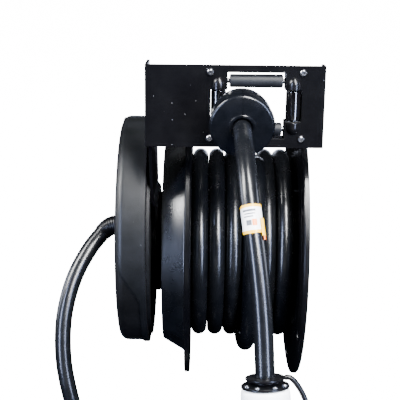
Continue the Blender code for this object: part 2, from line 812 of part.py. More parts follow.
def guide_arm():
    """Sheet arm with a joggle: from the hub it steps outwards and runs up and forward to the guide plate."""
    upper = PLATE_LEFT + PLATE_SHEET + FIT + ARM_SHEET / 2
    lower = ARM_RIGHT - ARM_SHEET / 2
    low_bend = HUB_RADIUS + 5 * MM
    high_bend = low_bend + 8 * MM
    heights = [(lower, -HUB_RADIUS - 5 * MM), (lower, low_bend), (upper, high_bend), (upper, PLATE_HIGH)]
    reach = (PLATE_FRONT + PLATE_SHEET + FIT, HUB_RADIUS + 5 * MM)

    def strip(bm):
        front = [bm.verts.new((x, reach[0], z)) for x, z in heights]
        rear = [bm.verts.new((x, reach[1], z)) for x, z in heights]
        for i in range(len(heights) - 1):
            bm.faces.new((front[i], front[i + 1], rear[i + 1], rear[i]))

    made = place("guide_arm", mesh_of(strip), BLACK_SHEET)
    thick = made.modifiers.new("thickness", "SOLIDIFY")
    thick.thickness = ARM_SHEET
    thick.offset = 0
    top = PLATE_HIGH - 6 * MM
    foot = PLATE_LOW + 6 * MM
    front = PLATE_FRONT + PLATE_SHEET + 2 * FIT
    back = PLATE_FRONT + LEFT_RETURN - 4 * MM
    outline = [
        *circle(0, 0, HUB_RADIUS, 23, math.radians(200), math.radians(210)),
        (back, foot + 20 * MM),
        (back, top),
        (front, top),
        (front, foot),
    ]
    bore = circle(0, 0, BARREL_RADIUS + FIT, 32)
    side = sheet("arm_side", [outline, bore], -80 * MM, -20 * MM, None)
    combine(made, side, "INTERSECT")


def slot_outline(tall, wide, grow=0.0):
    """A plus-shaped opening about the window's middle, as points in X and Z."""
    a, b = wide[0] / 2 + grow, tall[0] / 2 + grow
    c, d = tall[1] / 2 + grow, wide[1] / 2 + grow
    corners = [(a, d), (b, d), (b, c), (-b, c), (-b, d), (-a, d)]
    corners += [(-x, -z) for x, z in corners]
    return [(WINDOW_X + x, WINDOW_Z + z) for x, z in corners]


def guide_plate():
    """Upright plate with the roller window and a return at each side."""
    left, right = PLATE_LEFT, PLATE_RIGHT
    front, sheet_back = PLATE_FRONT, PLATE_FRONT + PLATE_SHEET
    outline = [
        (left, front),
        (right + PLATE_SHEET, front),
        (right + PLATE_SHEET, front + RIGHT_RETURN),
        (right, front + RIGHT_RETURN),
        (right, sheet_back),
        (left + PLATE_SHEET, sheet_back),
        (left + PLATE_SHEET, front + LEFT_RETURN),
        (left, front + LEFT_RETURN),
    ]
    made = sheet("guide_plate", [outline], PLATE_LOW, PLATE_HIGH, BLACK_SHEET, "Z")
    window = sheet("window", [slot_outline(TALL_SLOT, WIDE_SLOT)], front - 5 * MM, sheet_back + 5 * MM, None, "Y")
    combine(made, window, "DIFFERENCE")
    slope = [
        (sheet_back, PLATE_LOW - 1 * MM),
        (front + RIGHT_RETURN + 1 * MM, PLATE_LOW - 1 * MM),
        (front + RIGHT_RETURN + 1 * MM, PLATE_HIGH - 8 * MM),
        (sheet_back, PLATE_LOW + 24 * MM),
    ]
    wedge = sheet("return_slope", [slope], right - 1 * MM, right + PLATE_SHEET + 1 * MM, None)
    combine(made, wedge, "DIFFERENCE")
    for x, z in screw_places():
        hole = rod("screw_hole", SCREW_RADIUS + FIT, 4 * PLATE_SHEET, None, "Y", (x, front, z), 8)
        combine(made, hole, "DIFFERENCE")


def screw_places():
    return [
        (WINDOW_X + x * SCREW_ACROSS, WINDOW_Z + z * SCREW_UP) for z in (1, -1) for x in (-1, 1)
    ]


def cage_screws():
    """Pan-head screws that hold the roller cage to the plate."""
    under = -PLATE_FRONT + FIT
    tip = -(PLATE_FRONT + PLATE_SHEET + CAGE_DEPTH / 2)
    profile = [
        (0, under + SCREW_HEAD_HIGH),
        (0.7 * SCREW_HEAD_RADIUS, under + SCREW_HEAD_HIGH),
        (SCREW_HEAD_RADIUS, under),
        (SCREW_RADIUS, under),
        (SCREW_RADIUS, tip),
        (0, tip),
    ]
    for number, (x, z) in enumerate(screw_places(), 1):
        turned(f"cage_screw_{number}", profile, ZINC, along="Y", centre=(x, 0, z), steps=8)


def roller_cage():
    """Block behind the plate with a plus-shaped opening; its four corners hold the roller pins."""
    low = PLATE_FRONT + PLATE_SHEET + FIT
    high = low + CAGE_DEPTH
    half_wide = WIDE_SLOT[0] / 2 + CAGE_BAR
    half_high = TALL_SLOT[1] / 2 + CAGE_BAR
    outline = [
        (WINDOW_X + x * half_wide, WINDOW_Z + z * half_high) for x, z in ((-1, -1), (1, -1), (1, 1), (-1, 1))
    ]
    made = sheet("roller_cage", [outline, slot_outline(TALL_SLOT, WIDE_SLOT)], low, high, BLACK_SHEET, "Y")
    for x, z in screw_places():
        spot = (x, (low + high) / 2, z)
        hole = rod("screw_hole", SCREW_RADIUS + FIT, 2 * CAGE_DEPTH, None, "Y", spot, 8)
        combine(made, hole, "DIFFERENCE")
    for name, along, spot, length in roller_pin_places():
        hole = rod("hole_" + name, ROLLER_PIN_RADIUS + FIT, length + 2 * FIT, None, along, spot, 12)
        combine(made, hole, "DIFFERENCE")


def roller_pin_places():
    """Name, direction, middle and length of each roller's pin."""
    lying = TALL_SLOT[0] + 2 * PIN_SEAT
    standing = WIDE_SLOT[1] + 2 * PIN_SEAT
    return [
        ("top", "X", (WINDOW_X, ROLLER_Y, WINDOW_Z + ROLLER_UP), lying),
        ("bottom", "X", (WINDOW_X, ROLLER_Y, WINDOW_Z - ROLLER_UP), lying),
        ("left", "Z", (WINDOW_X - ROLLER_ASIDE, ROLLER_Y, WINDOW_Z), standing),
        ("right", "Z", (WINDOW_X + ROLLER_ASIDE, ROLLER_Y, WINDOW_Z), standing),
    ]


def rollers():
    """Four rollers round the window, each on its own fixed pin."""
    for name, along, spot, length in roller_pin_places():
        lying = along == "X"
        radius = LYING_ROLLER_RADIUS if lying else STANDING_ROLLER_RADIUS
        half = (LYING_ROLLER_LENGTH if lying else STANDING_ROLLER_LENGTH) / 2
        bore = ROLLER_PIN_RADIUS + FIT
        edge = 1.2 * MM
        profile = [
            (radius - edge, half),
            (radius, half - edge),
            (radius, edge - half),
            (radius - edge, -half),
            (bore, -half),
            (bore, half),
        ]
        finish = DULL_BLACK if lying else GLOSS_BLACK
        turned(f"roller_{name}", profile, finish, along=along, centre=spot, steps=18)
        rod(f"roller_pin_{name}", ROLLER_PIN_RADIUS, length, ZINC, along, spot, 12)


# ---------------------------------------------------------------- ratchet


def pawl_place():
    """Y and Z of the pawl's pin, low on the front side of the hub."""
    return polar(PAWL_PIVOT_RADIUS, -128)


PAWL_PIVOT = pawl_place()


def ratchet_wheel():
    """Toothed wheel on the spring case's lid."""
    outline = []
    step = 360 / RATCHET_TEETH
    for tooth in range(RATCHET_TEETH):
        start = RATCHET_PHASE + tooth * step
        outline.append(polar(RATCHET_ROOT, start))
        outline.append(polar(RATCHET_TIP, start + 0.1 * step))
        outline.append(polar((RATCHET_ROOT + RATCHET_TIP) / 2 - 0.5 * MM, start + 0.55 * step))
    bore = circle(0, 0, ARBOR_RADIUS + RUNNING_GAP + 1 * MM, 24)
    low = HUB_RIGHT + FIT + 0.1 * MM
    sheet("ratchet_wheel", [outline, bore], low, LID_LEFT - FIT, STEEL)


def pawl():
    """Pawl drawn lifted just clear of the teeth."""
    y, z = PAWL_PIVOT
    low = HUB_RIGHT + FIT + 0.1 * MM
    high = LID_LEFT - FIT
    nose_y, nose_z = polar(PAWL_LENGTH, PAWL_LIFT_ANGLE)
    side_y, side_z = polar(2.4 * MM, PAWL_LIFT_ANGLE + 90)
    outline = [
        *circle(0, 0, PAWL_EYE, 12, math.radians(PAWL_LIFT_ANGLE + 70), math.radians(220)),
        (nose_y - side_y, nose_z - side_z),
        (nose_y + 0.2 * side_y, nose_z + 0.2 * side_z),
        (0.75 * nose_y + side_y, 0.75 * nose_z + side_z),
    ]
    hole = circle(0, 0, PAWL_PIN_RADIUS + FIT, 12)
    made = sheet("pawl", [outline, hole], low, high, ZINC)
    made.location = ((low + high) / 2, y, z)


# ---------------------------------------------------------------- drum


def drum_shaft():
    ring("drum_shaft", SHAFT_RADIUS, SHAFT_BORE, SHAFT_LEFT, SHAFT_RIGHT, STEEL, steps=24)


def drum_core():
    low = LEFT_FLANGE_FACE + FIT
    high = RIGHT_FLANGE_FACE - FIT
    ring("drum_core", CORE_RADIUS, CORE_RADIUS - CORE_WALL, low, high, BLACK_SHEET, steps=DRUM_STEPS)


def flange(name, face, outward):
    """Drum side: a disc with a lip round its rim, turned away from the cable."""
    outer = FLANGE_RADIUS
    back = face + outward * FLANGE_SHEET
    lip = face + outward * FLANGE_LIP
    bore = SHAFT_RADIUS + FIT
    profile = [
        (outer, face),
        (bore, face),
        (bore, back),
        (outer - LIP_SHEET, back),
        (outer - LIP_SHEET, lip),
        (outer, lip),
    ]
    if outward < 0:
        profile = [(outer, face), (outer, lip), *profile[4:0:-1]]
    else:
        profile = [(outer, lip), (outer, face), *profile[1:5]]
    made = turned(name, profile, BLACK_SHEET, steps=48)
    for hole in range(LIGHTENING_HOLES):
        y, z = polar(LIGHTENING_CIRCLE, (hole + 0.5) * 360 / LIGHTENING_HOLES)
        spot = (face, y, z)
        cutter = rod("lightening_hole", LIGHTENING_RADIUS, 4 * FLANGE_SHEET, None, "X", spot, 8)
        combine(made, cutter, "DIFFERENCE")


def spring_case():
    """Dished case, wider towards the drum, open towards the hub."""
    right, left = CASE_RIGHT, CASE_LEFT
    wall = CASE_WALL
    turned(
        "spring_case",
        [
            (CASE_BIG_RADIUS, right),
            (CASE_BIG_RADIUS, right - CASE_RIM),
            (CASE_SMALL_RADIUS, left),
            (CASE_SMALL_RADIUS - wall, left),
            (CASE_BIG_RADIUS - wall, right - CASE_RIM),
            (CASE_BIG_RADIUS - wall, right - CASE_WEB),
            (SHAFT_RADIUS + FIT, right - CASE_WEB),
            (SHAFT_RADIUS + FIT, right),
        ],
        CHARCOAL_SHELL,
        steps=36,
    )


def case_bore(x):
    """Radius inside the case's sloping wall at a station along the axle."""
    run = CASE_LENGTH - CASE_RIM
    share = (x - CASE_LEFT) / run
    return CASE_SMALL_RADIUS - CASE_WALL + share * (CASE_BIG_RADIUS - CASE_SMALL_RADIUS)


def spring_case_lid():
    outer = case_bore(LID_LEFT) - FIT
    bore = ARBOR_RADIUS + RUNNING_GAP
    ring("spring_case_lid", outer, bore, LID_LEFT, LID_LEFT + LID_SHEET, BLACK_SHEET, steps=36)


def mainspring():
    """Flat spiral strip from the arbor out to the case."""
    low = LID_LEFT + LID_SHEET + FIT + 0.2 * MM
    high = CASE_RIGHT - CASE_WEB - FIT - 0.2 * MM
    start = ARBOR_RADIUS + FIT + SPRING_STRIP / 2
    end = case_bore(low) - 1 * MM - SPRING_STRIP / 2
    steps_a_turn = 14
    steps = SPRING_TURNS * steps_a_turn

    def strip(bm):
        rows = []
        for i in range(steps + 1):
            radius = start + (end - start) * i / steps
            y, z = polar(radius, i * 360 / steps_a_turn)
            rows.append((bm.verts.new((low, y, z)), bm.verts.new((high, y, z))))
        for a, b in zip(rows, rows[1:]):
            bm.faces.new((a[0], b[0], b[1], a[1]))

    made = place("mainspring", mesh_of(strip), SPRING_STEEL)
    thick = made.modifiers.new("thickness", "SOLIDIFY")
    thick.thickness = SPRING_STRIP
    thick.offset = 0


def shaft_retainer():
    """Ring that keeps the drum on the shaft's free end."""
    low = RIGHT_FLANGE_FACE + FLANGE_SHEET + FIT
    high = low + RETAINER_WIDTH
    ring("shaft_retainer", RETAINER_RADIUS, SHAFT_RADIUS + FIT, low, high, ZINC, steps=20)


def wound_cable():
    """The layers of cable on the drum, with one crown for each turn across."""
    first = LEFT_FLANGE_FACE + FIT + TURN_PITCH / 2
    crown = CABLE_DIAMETER / 2
    middle = WINDING_RADIUS - crown
    profile = []
    for turn in reversed(range(TURNS_ACROSS)):
        x = first + turn * TURN_PITCH
        for degrees in (25, 65, 115, 155):
            along, out = polar(crown, degrees)
            profile.append((middle + out, x + along))
    last = first + (TURNS_ACROSS - 1) * TURN_PITCH + crown
    start = first - crown
    bore = CORE_RADIUS + FIT
    profile += [(middle - crown / 2, start), (bore, start), (bore, last), (middle - crown / 2, last)]
    turned("wound_cable", profile, RUBBER, steps=DRUM_STEPS)


def feed_cable():
    """The turn that is being paid out: once round the others, then over the lower roller to the ball stop."""
    radius = WINDING_RADIUS + CABLE_DIAMETER / 2 + FIT
    roller_top = WINDOW_Z - ROLLER_UP + LYING_ROLLER_RADIUS
    over = Vector((BALL_PLACE[0], ROLLER_Y, roller_top + CABLE_DIAMETER / 2 + 4 * FIT))
    end = Vector(BALL_PLACE)
    reach = math.hypot(over.y, over.z)
    leave = math.degrees(math.atan2(over.z, over.y) - math.acos(radius / reach))
    start_x = over.x + 1.3 * TURN_PITCH
    leave_x = over.x + 3 * MM
    points = []
    for i in range(FEED_POINTS):
        share = i / (FEED_POINTS - 1)
        y, z = polar(radius, leave - FEED_SWEEP * (1 - share))
        points.append(Vector((start_x + (leave_x - start_x) * share, y, z)))
    axis = Vector((0, -math.cos(BALL_TILT), -math.sin(BALL_TILT)))
    points += [points[-1].lerp(over, share) for share in (0.3, 0.6, 0.9)]
    points += [end - axis * 8.5 * MM, end + axis * FEED_IN_BALL]
    tube("feed_cable", points, CABLE_DIAMETER / 2, RUBBER, 2)


# ---------------------------------------------------------------- ball stop, cable and connector


def ball_halves():
    """Ball stop in two halves that meet on an upright plane through the cable."""
    bore = CABLE_DIAMETER / 2 + FIT
    length, radius, rear = BALL_LENGTH, BALL_RADIUS, BALL_REAR_RADIUS
    profile = [
        (bore + 3 * MM, length),
        (radius - 2.5 * MM, length - 1.2 * MM),
        (radius, length - 4 * MM),
        (radius, length - 9 * MM),
        (radius - 1.6 * MM, 0.45 * length),
        (rear, 0.12 * length),
        (rear - 4 * MM, 0),
        (bore, 0),
        (bore, length),
    ]
    rotation = (math.radians(90) + BALL_TILT, 0, 0)
    for name, side in (("ball_half_left", -1), ("ball_half_right", 1)):
        made = turned(name, profile, DULL_BLACK, centre=BALL_PLACE, steps=32, rotation=rotation)
        deep = 4 * BALL_RADIUS
        keep = side * (deep / 2 - FIT / 2)
        x, y, z = BALL_PLACE
        spot_low = (x - keep - deep / 2, y - deep, z - deep)
        spot_high = (x - keep + deep / 2, y + deep, z + deep)
        combine(made, box("other_side", spot_low, spot_high, None), "DIFFERENCE")


def pull_cable():
    route = smooth(PULL_ROUTE, 2.0 * CABLE_DIAMETER)
    tube("pull_cable", route, CABLE_DIAMETER / 2, RUBBER, 3)


def connector_rotation():
    """Rotation that turns -Z to the cable's last direction."""
    onward = (Vector(PULL_ROUTE[-1]) - Vector(PULL_ROUTE[-2])).normalized()
    return Vector((0, 0, -1)).rotation_difference(onward).to_euler()


def on_connector(distance):
    """A point that far along the connector from the cable's end."""
    onward = (Vector(PULL_ROUTE[-1]) - Vector(PULL_ROUTE[-2])).normalized()
    return Vector(PULL_ROUTE[-1]) * MM + onward * distance


def connector():
    """Gland with its disc and collar, white body, and a cap closed on its end."""
    top = -FIT
    disc = top - GLAND_DISC_THICK
    collar = disc - GLAND_NECK_LENGTH
    seat = collar - COLLAR_THICK
    place_at = dict(along="Z", centre=on_connector(0), rotation=connector_rotation())
    turned(
        "connector_gland",
        [
            (0, top),
            (GLAND_DISC_RADIUS, top),
            (GLAND_DISC_RADIUS, disc),
            (GLAND_NECK_RADIUS, disc),
            (GLAND_NECK_RADIUS + 1 * MM, collar + 2 * MM),
            (GLAND_NECK_RADIUS + 4 * MM, collar),
            (COLLAR_RADIUS, collar),
            (COLLAR_RADIUS, seat),
            (0, seat),
        ],
        GLOSS_BLACK,
        steps=28,
        **place_at,
    )
    body_top = seat - FIT
    body_end = body_top - BODY_LENGTH
    turned(
        "connector_body",
        [
            (0, body_top),
            (COLLAR_RADIUS - 1.5 * MM, body_top),
            (BODY_RADIUS, body_top - 4 * MM),
            (BODY_RADIUS, body_end),
            (0, body_end),
        ],
        WHITE_BODY,
        steps=28,
        **place_at,
    )
    cap_top = body_end - FIT
    cap_end = cap_top - CAP_LENGTH
    turned(
        "dust_cap",
        [
            (0, cap_top),
            (CAP_RADIUS, cap_top),
            (CAP_RADIUS, cap_end + 3 * MM),
            (CAP_RADIUS - 3 * MM, cap_end),
            (0, cap_end),
        ],
        GLOSS_BLACK,
        steps=28,
        **place_at,
    )


def connector_strap():
    """Rubber strap from the gland's disc round the outside of the body to the cap."""
    turn = connector_rotation().to_matrix()
    run = GLAND_DISC_THICK + GLAND_NECK_LENGTH + COLLAR_THICK + BODY_LENGTH + CAP_LENGTH / 2
    top_side = GLAND_DISC_RADIUS + 2 * FIT
    low_side = CAP_RADIUS + 2 * FIT
    start = -FIT - GLAND_DISC_THICK / 2
    points = [
        (top_side, start),
        (top_side + 4 * MM, start - 0.3 * MM),
        (top_side + 10 * MM, start - 7 * MM),
        (top_side + 16 * MM, start - 19 * MM),
        (top_side + 20 * MM, start - 34 * MM),
        (top_side + 21 * MM, start - 50 * MM),
        (top_side + 18 * MM, start - 66 * MM),
        (low_side + 6 * MM, 1.2 * MM - run),
        (low_side, -run),
    ]
    route = [(on_connector(0) + turn @ Vector((x, 0, z))) / MM for x, z in points]
    tube("connector_strap", smooth(route, 3 * STRAP_RADIUS), STRAP_RADIUS, DULL_BLACK, 1)


def build():
    wall_bracket()
    frame_arm()
    frame_bolts()
    hub_housing()
    bearings()
    spring_arbor()
    cover_back_plate()
    cover_shell()
    slip_rings()
    terminal_block()
    supply_gland()
    supply_relief()
    supply_lead()
    supply_coil()
    supply_tie()
    supply_plug()
    guide_arm()
    guide_plate()
    cage_screws()
    roller_cage()
    rollers()
    ratchet_wheel()
    pawl()
    drum_shaft()
    drum_core()
    flange("left_flange", LEFT_FLANGE_FACE, -1)
    flange("right_flange", RIGHT_FLANGE_FACE, 1)
    spring_case()
    spring_case_lid()
    mainspring()
    shaft_retainer()
    wound_cable()
    feed_cable()
    ball_halves()
    pull_cable()
    connector()
    connector_strap()


build()
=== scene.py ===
"""Looks of a wall-mounted, spring-return extension cord reel.

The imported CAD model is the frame. Each sub-assembly is a class that holds its sizes in millimetres from the
drum's axle, with X along the axle, Y towards the wall and Z up. It builds, dresses and places its pieces.
"""

import json
import logging
import math
from collections.abc import Iterator, Sequence
from contextlib import contextmanager
from dataclasses import dataclass, field
from enum import Enum

import bpy
from mathutils import Matrix, Vector


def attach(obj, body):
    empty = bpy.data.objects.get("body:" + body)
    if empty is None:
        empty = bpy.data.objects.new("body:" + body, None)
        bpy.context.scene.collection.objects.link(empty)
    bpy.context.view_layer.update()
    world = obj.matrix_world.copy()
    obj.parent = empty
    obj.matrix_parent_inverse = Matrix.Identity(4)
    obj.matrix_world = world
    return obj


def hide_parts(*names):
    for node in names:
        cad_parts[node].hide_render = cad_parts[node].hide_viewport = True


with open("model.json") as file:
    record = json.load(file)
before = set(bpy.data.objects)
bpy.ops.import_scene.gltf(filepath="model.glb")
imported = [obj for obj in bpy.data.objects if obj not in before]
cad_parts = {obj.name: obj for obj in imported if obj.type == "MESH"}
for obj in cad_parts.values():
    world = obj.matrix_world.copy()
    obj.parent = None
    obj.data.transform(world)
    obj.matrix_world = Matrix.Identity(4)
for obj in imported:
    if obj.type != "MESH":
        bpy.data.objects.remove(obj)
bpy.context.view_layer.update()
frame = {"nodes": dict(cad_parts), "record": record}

LOG = logging.getLogger("cord_reel")
# Metres in a millimetre, the drum's axle in the row frame, and how near two vertices are to be merged.
MM = 0.001
AXLE = Vector((0, -0.175, 0.045))
WELD = 0.00001
# In millimetres: the gap left between neighbouring pieces, and the cable's diameter.
GAP = 0.3
CABLE = 17.6
Profile = Sequence[tuple[float, float]]


class Body(Enum):
    """The CAD bodies that pieces ride on."""

    FRAME = "frame"
    DRUM = "drum"
    TOP_ROLLER = "top_roller"
    BOTTOM_ROLLER = "bottom_roller"
    LEFT_ROLLER = "left_roller"
    RIGHT_ROLLER = "right_roller"


class Along(Enum):
    """The direction that a turned piece's axis takes."""

    X = "X"
    Y = "Y"
    Z = "Z"


class Surface(Enum):
    """How a finish's surface was made, which sets its fine relief."""

    POWDER = "sprayed powder"
    PEEL = "textured powder"
    ENAMEL = "enamel"
    MOULDED = "moulded"
    TURNED = "turned"
    PRINTED = "printed"


# ---------------------------------------------------------------- finishes


def linear(colour: str) -> tuple[float, float, float, float]:
    """Turn an sRGB hex colour to linear values.

    Args:
        colour: A colour such as "#1a2b3c".

    Returns:
        Linear red, green and blue, and an alpha of 1.
    """
    parts = [int(colour[i : i + 2], 16) / 255 for i in (1, 3, 5)]
    red, green, blue = (p / 12.92 if p <= 0.04045 else ((p + 0.055) / 1.055) ** 2.4 for p in parts)
    return red, green, blue, 1.0


def add_node(
    tree: bpy.types.NodeTree, kind: str, settings: dict | None = None, links: dict | None = None
) -> bpy.types.Node:
    """Add a node with its settings and links.

    Args:
        tree: The node tree that takes the node.
        kind: The node's type name.
        settings: Socket values or node properties by name, or socket values by number.
        links: Output sockets by the name or number of the input that they feed.

    Returns:
        The new node.
    """
    node = tree.nodes.new(kind)
    for name, value in (settings or {}).items():
        if isinstance(name, int) or name in node.inputs:
            node.inputs[name].default_value = value
        else:
            setattr(node, name, value)
    for name, source in (links or {}).items():
        tree.links.new(source, node.inputs[name])
    return node


@dataclass(frozen=True)
class Finish:
    """A finish: what the piece is made of and how its surface was made."""

    name: str
    slot: str
    colour: str
    second: str
    surface: Surface
    roughness: float
    spread: float = 0.06
    metallic: float = 0.0
    ior: float = 1.5
    gloss: float = 0.3
    grain: float = 0.5
    relief: float = 0.03
    patch: float = 25.0
    dust: float = 0.0
    made: dict = field(default_factory=dict, compare=False, repr=False)

    def material(self) -> bpy.types.Material:
        """Build the finish's node material once, and give it again after that.

        Returns:
            The material.
        """
        if "material" in self.made:
            return self.made["material"]
        made = bpy.data.materials.new(self.name)
        made.use_nodes = True
        tree = made.node_tree
        shader = tree.nodes["Principled BSDF"]
        shader.inputs["Metallic"].default_value = self.metallic
        shader.inputs["IOR"].default_value = self.ior
        shader.inputs["Specular IOR Level"].default_value = self.gloss
        place = add_node(tree, "ShaderNodeTexCoord").outputs["Object"]
        patches = add_node(
            tree,
            "ShaderNodeTexNoise",
            {"Scale": 1 / (self.patch * MM), "Detail": 4.0, "Roughness": 0.6},
            {"Vector": place},
        ).outputs["Fac"]
        colour = self._colour(tree, place, patches)
        tree.links.new(colour, shader.inputs["Base Color"])
        rough = add_node(
            tree,
            "ShaderNodeMapRange",
            {"To Min": self.roughness - self.spread, "To Max": self.roughness + self.spread},
            {"Value": patches},
        )
        tree.links.new(rough.outputs["Result"], shader.inputs["Roughness"])
        tree.links.new(self._relief(tree, place), shader.inputs["Normal"])
        self.made["material"] = made
        return made

    def _colour(
        self, tree: bpy.types.NodeTree, place: bpy.types.NodeSocket, patches: bpy.types.NodeSocket
    ) -> bpy.types.NodeSocket:
        """Blend the two colours in soft patches, with dust specks where the finish has them.

        Args:
            tree: The material's node tree.
            place: The object coordinates.
            patches: The slow noise.

        Returns:
            The colour socket.
        """
        ramp = add_node(tree, "ShaderNodeValToRGB", links={"Fac": patches})
        ramp.color_ramp.elements[0].position = 0.35
        ramp.color_ramp.elements[0].color = linear(self.colour)
        ramp.color_ramp.elements[1].position = 0.68
        ramp.color_ramp.elements[1].color = linear(self.second)
        if not self.dust:
            return ramp.outputs["Color"]
        # Specks of dust are about half a millimetre across, in cells of 2.6 mm.
        specks = add_node(
            tree, "ShaderNodeTexVoronoi", {"Scale": 1 / (2.6 * MM), "Randomness": 1.0}, {"Vector": place}
        )
        near = add_node(
            tree,
            "ShaderNodeMapRange",
            {"From Min": 0.05, "From Max": 0.11, "To Min": 1.0, "To Max": 0.0},
            {"Value": specks.outputs["Distance"]},
        )
        few = add_node(
            tree,
            "ShaderNodeMath",
            {"operation": "GREATER_THAN", 1: 1 - self.dust},
            {0: add_node(tree, "ShaderNodeSeparateColor", links={0: specks.outputs["Color"]}).outputs[0]},
        )
        share = add_node(
            tree, "ShaderNodeMath", {"operation": "MULTIPLY"}, {0: near.outputs[0], 1: few.outputs[0]}
        )
        mix = add_node(
            tree,
            "ShaderNodeMixRGB",
            {"Color2": linear("#8d8f92")},
            {"Fac": share.outputs[0], "Color1": ramp.outputs["Color"]},
        )
        return mix.outputs["Color"]

    def _relief(self, tree: bpy.types.NodeTree, place: bpy.types.NodeSocket) -> bpy.types.NodeSocket:
        """Make the fine relief: grain for sprayed and moulded skins, fine rings for turned metal.

        Args:
            tree: The material's node tree.
            place: The object coordinates.

        Returns:
            The normal socket.
        """
        stretch = (8.0, 1.0, 1.0) if self.surface is Surface.TURNED else (1.0, 1.0, 1.0)
        spread = add_node(tree, "ShaderNodeMapping", {"Scale": stretch}, {"Vector": place})
        detail = 1.0 if self.surface in (Surface.PEEL, Surface.ENAMEL) else 3.0
        grain = add_node(
            tree,
            "ShaderNodeTexNoise",
            {"Scale": 1 / (self.grain * MM), "Detail": detail, "Roughness": 0.55},
            {"Vector": spread.outputs["Vector"]},
        )
        bump = add_node(
            tree,
            "ShaderNodeBump",
            {"Strength": 1.0, "Distance": self.relief * MM},
            {"Height": grain.outputs["Fac"]},
        )
        return bump.outputs["Normal"]


# Steel sheet sprayed with fine black powder: a soft sheen with a barely visible grain, and dust on it.
POWDER_BLACK = Finish(
    "powder_coated_steel", "powder_coat_black", "#030304", "#060607", Surface.POWDER, 0.3,
    gloss=0.06, grain=0.9, relief=0.05, dust=0.06,
)
# Pressed steel with a finely textured charcoal powder: duller and paler than the sheets.
POWDER_CHARCOAL = Finish(
    "textured_charcoal_steel", "powder_coat_charcoal", "#08090a", "#0d0e10", Surface.POWDER, 0.4,
    gloss=0.2, grain=1.1, relief=0.09, dust=0.03,
)
# The cover's sunk panel has the same powder, a little smoother, in darker colours that are painted shade for
# its recess.
POWDER_PANEL_PAINTED_SHADE = Finish(
    "charcoal_panel_painted_shade", "powder_coat_charcoal", "#060607", "#0a0a0b", Surface.POWDER, 0.4,
    grain=1.1, relief=0.05,
)
# Coarse textured powder, glossy on its bumps, so that it sparkles where light falls on it.
POWDER_PEEL = Finish(
    "orange_peel_steel", "powder_coat_orange_peel", "#08090a", "#0e0f11", Surface.PEEL, 0.28,
    gloss=0.5, grain=1.3, relief=0.12,
)
# Spun steel in gloss black enamel.
ENAMEL_BLACK = Finish(
    "black_enamelled_steel", "gloss_paint_black", "#040405", "#070708", Surface.ENAMEL, 0.24,
    spread=0.05, gloss=0.22, grain=3.0, relief=0.03,
)
# Extruded chloroprene sheath: satin, with a faint drag from the die.
SHEATH = Finish(
    "rubber_sheath", "flex_rubber", "#050608", "#08090b", Surface.MOULDED, 0.26,
    gloss=0.36, grain=2.5, relief=0.008, patch=14,
)
# Moulded rubber with a blue cast and a satin skin.
STOP_RUBBER = Finish(
    "moulded_stop_rubber", "ball_rubber", "#040507", "#07080b", Surface.MOULDED, 0.25,
    gloss=0.25, grain=1.2, relief=0.03, patch=12,
)
# Moulded nylon of the lying rollers: dull dark grey.
NYLON_GREY = Finish(
    "dull_grey_nylon", "roller_plastic", "#0c0d0f", "#131416", Surface.MOULDED, 0.5,
    gloss=0.15, grain=0.8, relief=0.03, patch=9,
)
# Moulded nylon of the standing rollers, which the cable has polished.
NYLON_POLISHED = Finish(
    "polished_black_nylon", "roller_plastic", "#040405", "#070708", Surface.MOULDED, 0.11,
    # The shell wears the charcoal powder darkened as painted shade, which shows on the sunk panel.
    gloss=0.9, spread=0.04, grain=1.5, relief=0.01, patch=9,
)
# Black moulded nylon of glands, plug and cap.
NYLON_BLACK = Finish(
    "black_nylon", "gland_plastic", "#050506", "#080809", Surface.MOULDED, 0.3,
    gloss=0.15, grain=0.9, relief=0.03, patch=10,
)
# White moulded nylon of the connector.
NYLON_WHITE = Finish(
    "white_nylon", "connector_white", "#e4e4e1", "#f1f1ee", Surface.MOULDED, 0.34,
    grain=1.2, relief=0.02, patch=14,
)
# Bright zinc plate on fasteners.
ZINC = Finish(
    "zinc_plated_steel", "zinc_steel", "#a9abb0", "#c6c8cc", Surface.TURNED, 0.28,
    metallic=1.0, grain=0.9, relief=0.02, patch=5,
)
# Steel of the cage screws, worn bright, with little of its black oxide left.
BLACKED = Finish(
    "black_oxide_steel", "zinc_steel", "#85868b", "#9b9ca1", Surface.TURNED, 0.24,
    metallic=1.0, grain=0.9, relief=0.02, patch=4,
)
# Ground steel of shaft, pins, ratchet and bearings.
STEEL = Finish(
    "ground_steel", "turned_steel", "#83858a", "#9d9fa4", Surface.TURNED, 0.26,
    metallic=1.0, grain=0.7, relief=0.02, patch=8,
)
# Oiled blued strip.
SPRING_STRIP = Finish(
    "blued_spring_steel", "spring_steel", "#2b3040", "#454b58", Surface.TURNED, 0.3,
    metallic=1.0, grain=1.2, relief=0.02, patch=12,
)
# Bare brass of contacts.
BRASS = Finish(
    "plain_brass", "contact_brass", "#b08d45", "#c8a65c", Surface.TURNED, 0.24,
    metallic=1.0, grain=0.7, relief=0.02, patch=6,
)
# Moulded insulating resin.
RESIN = Finish(
    "insulating_resin", "insulator", "#8d8069", "#a2957c", Surface.MOULDED, 0.5,
    grain=0.7, relief=0.03, patch=8,
)
# Pressed carbon of the brushes.
CARBON = Finish(
    "pressed_carbon", "brush_carbon", "#1a1a1a", "#262626", Surface.MOULDED, 0.62,
    grain=0.4, relief=0.04, patch=5,
)
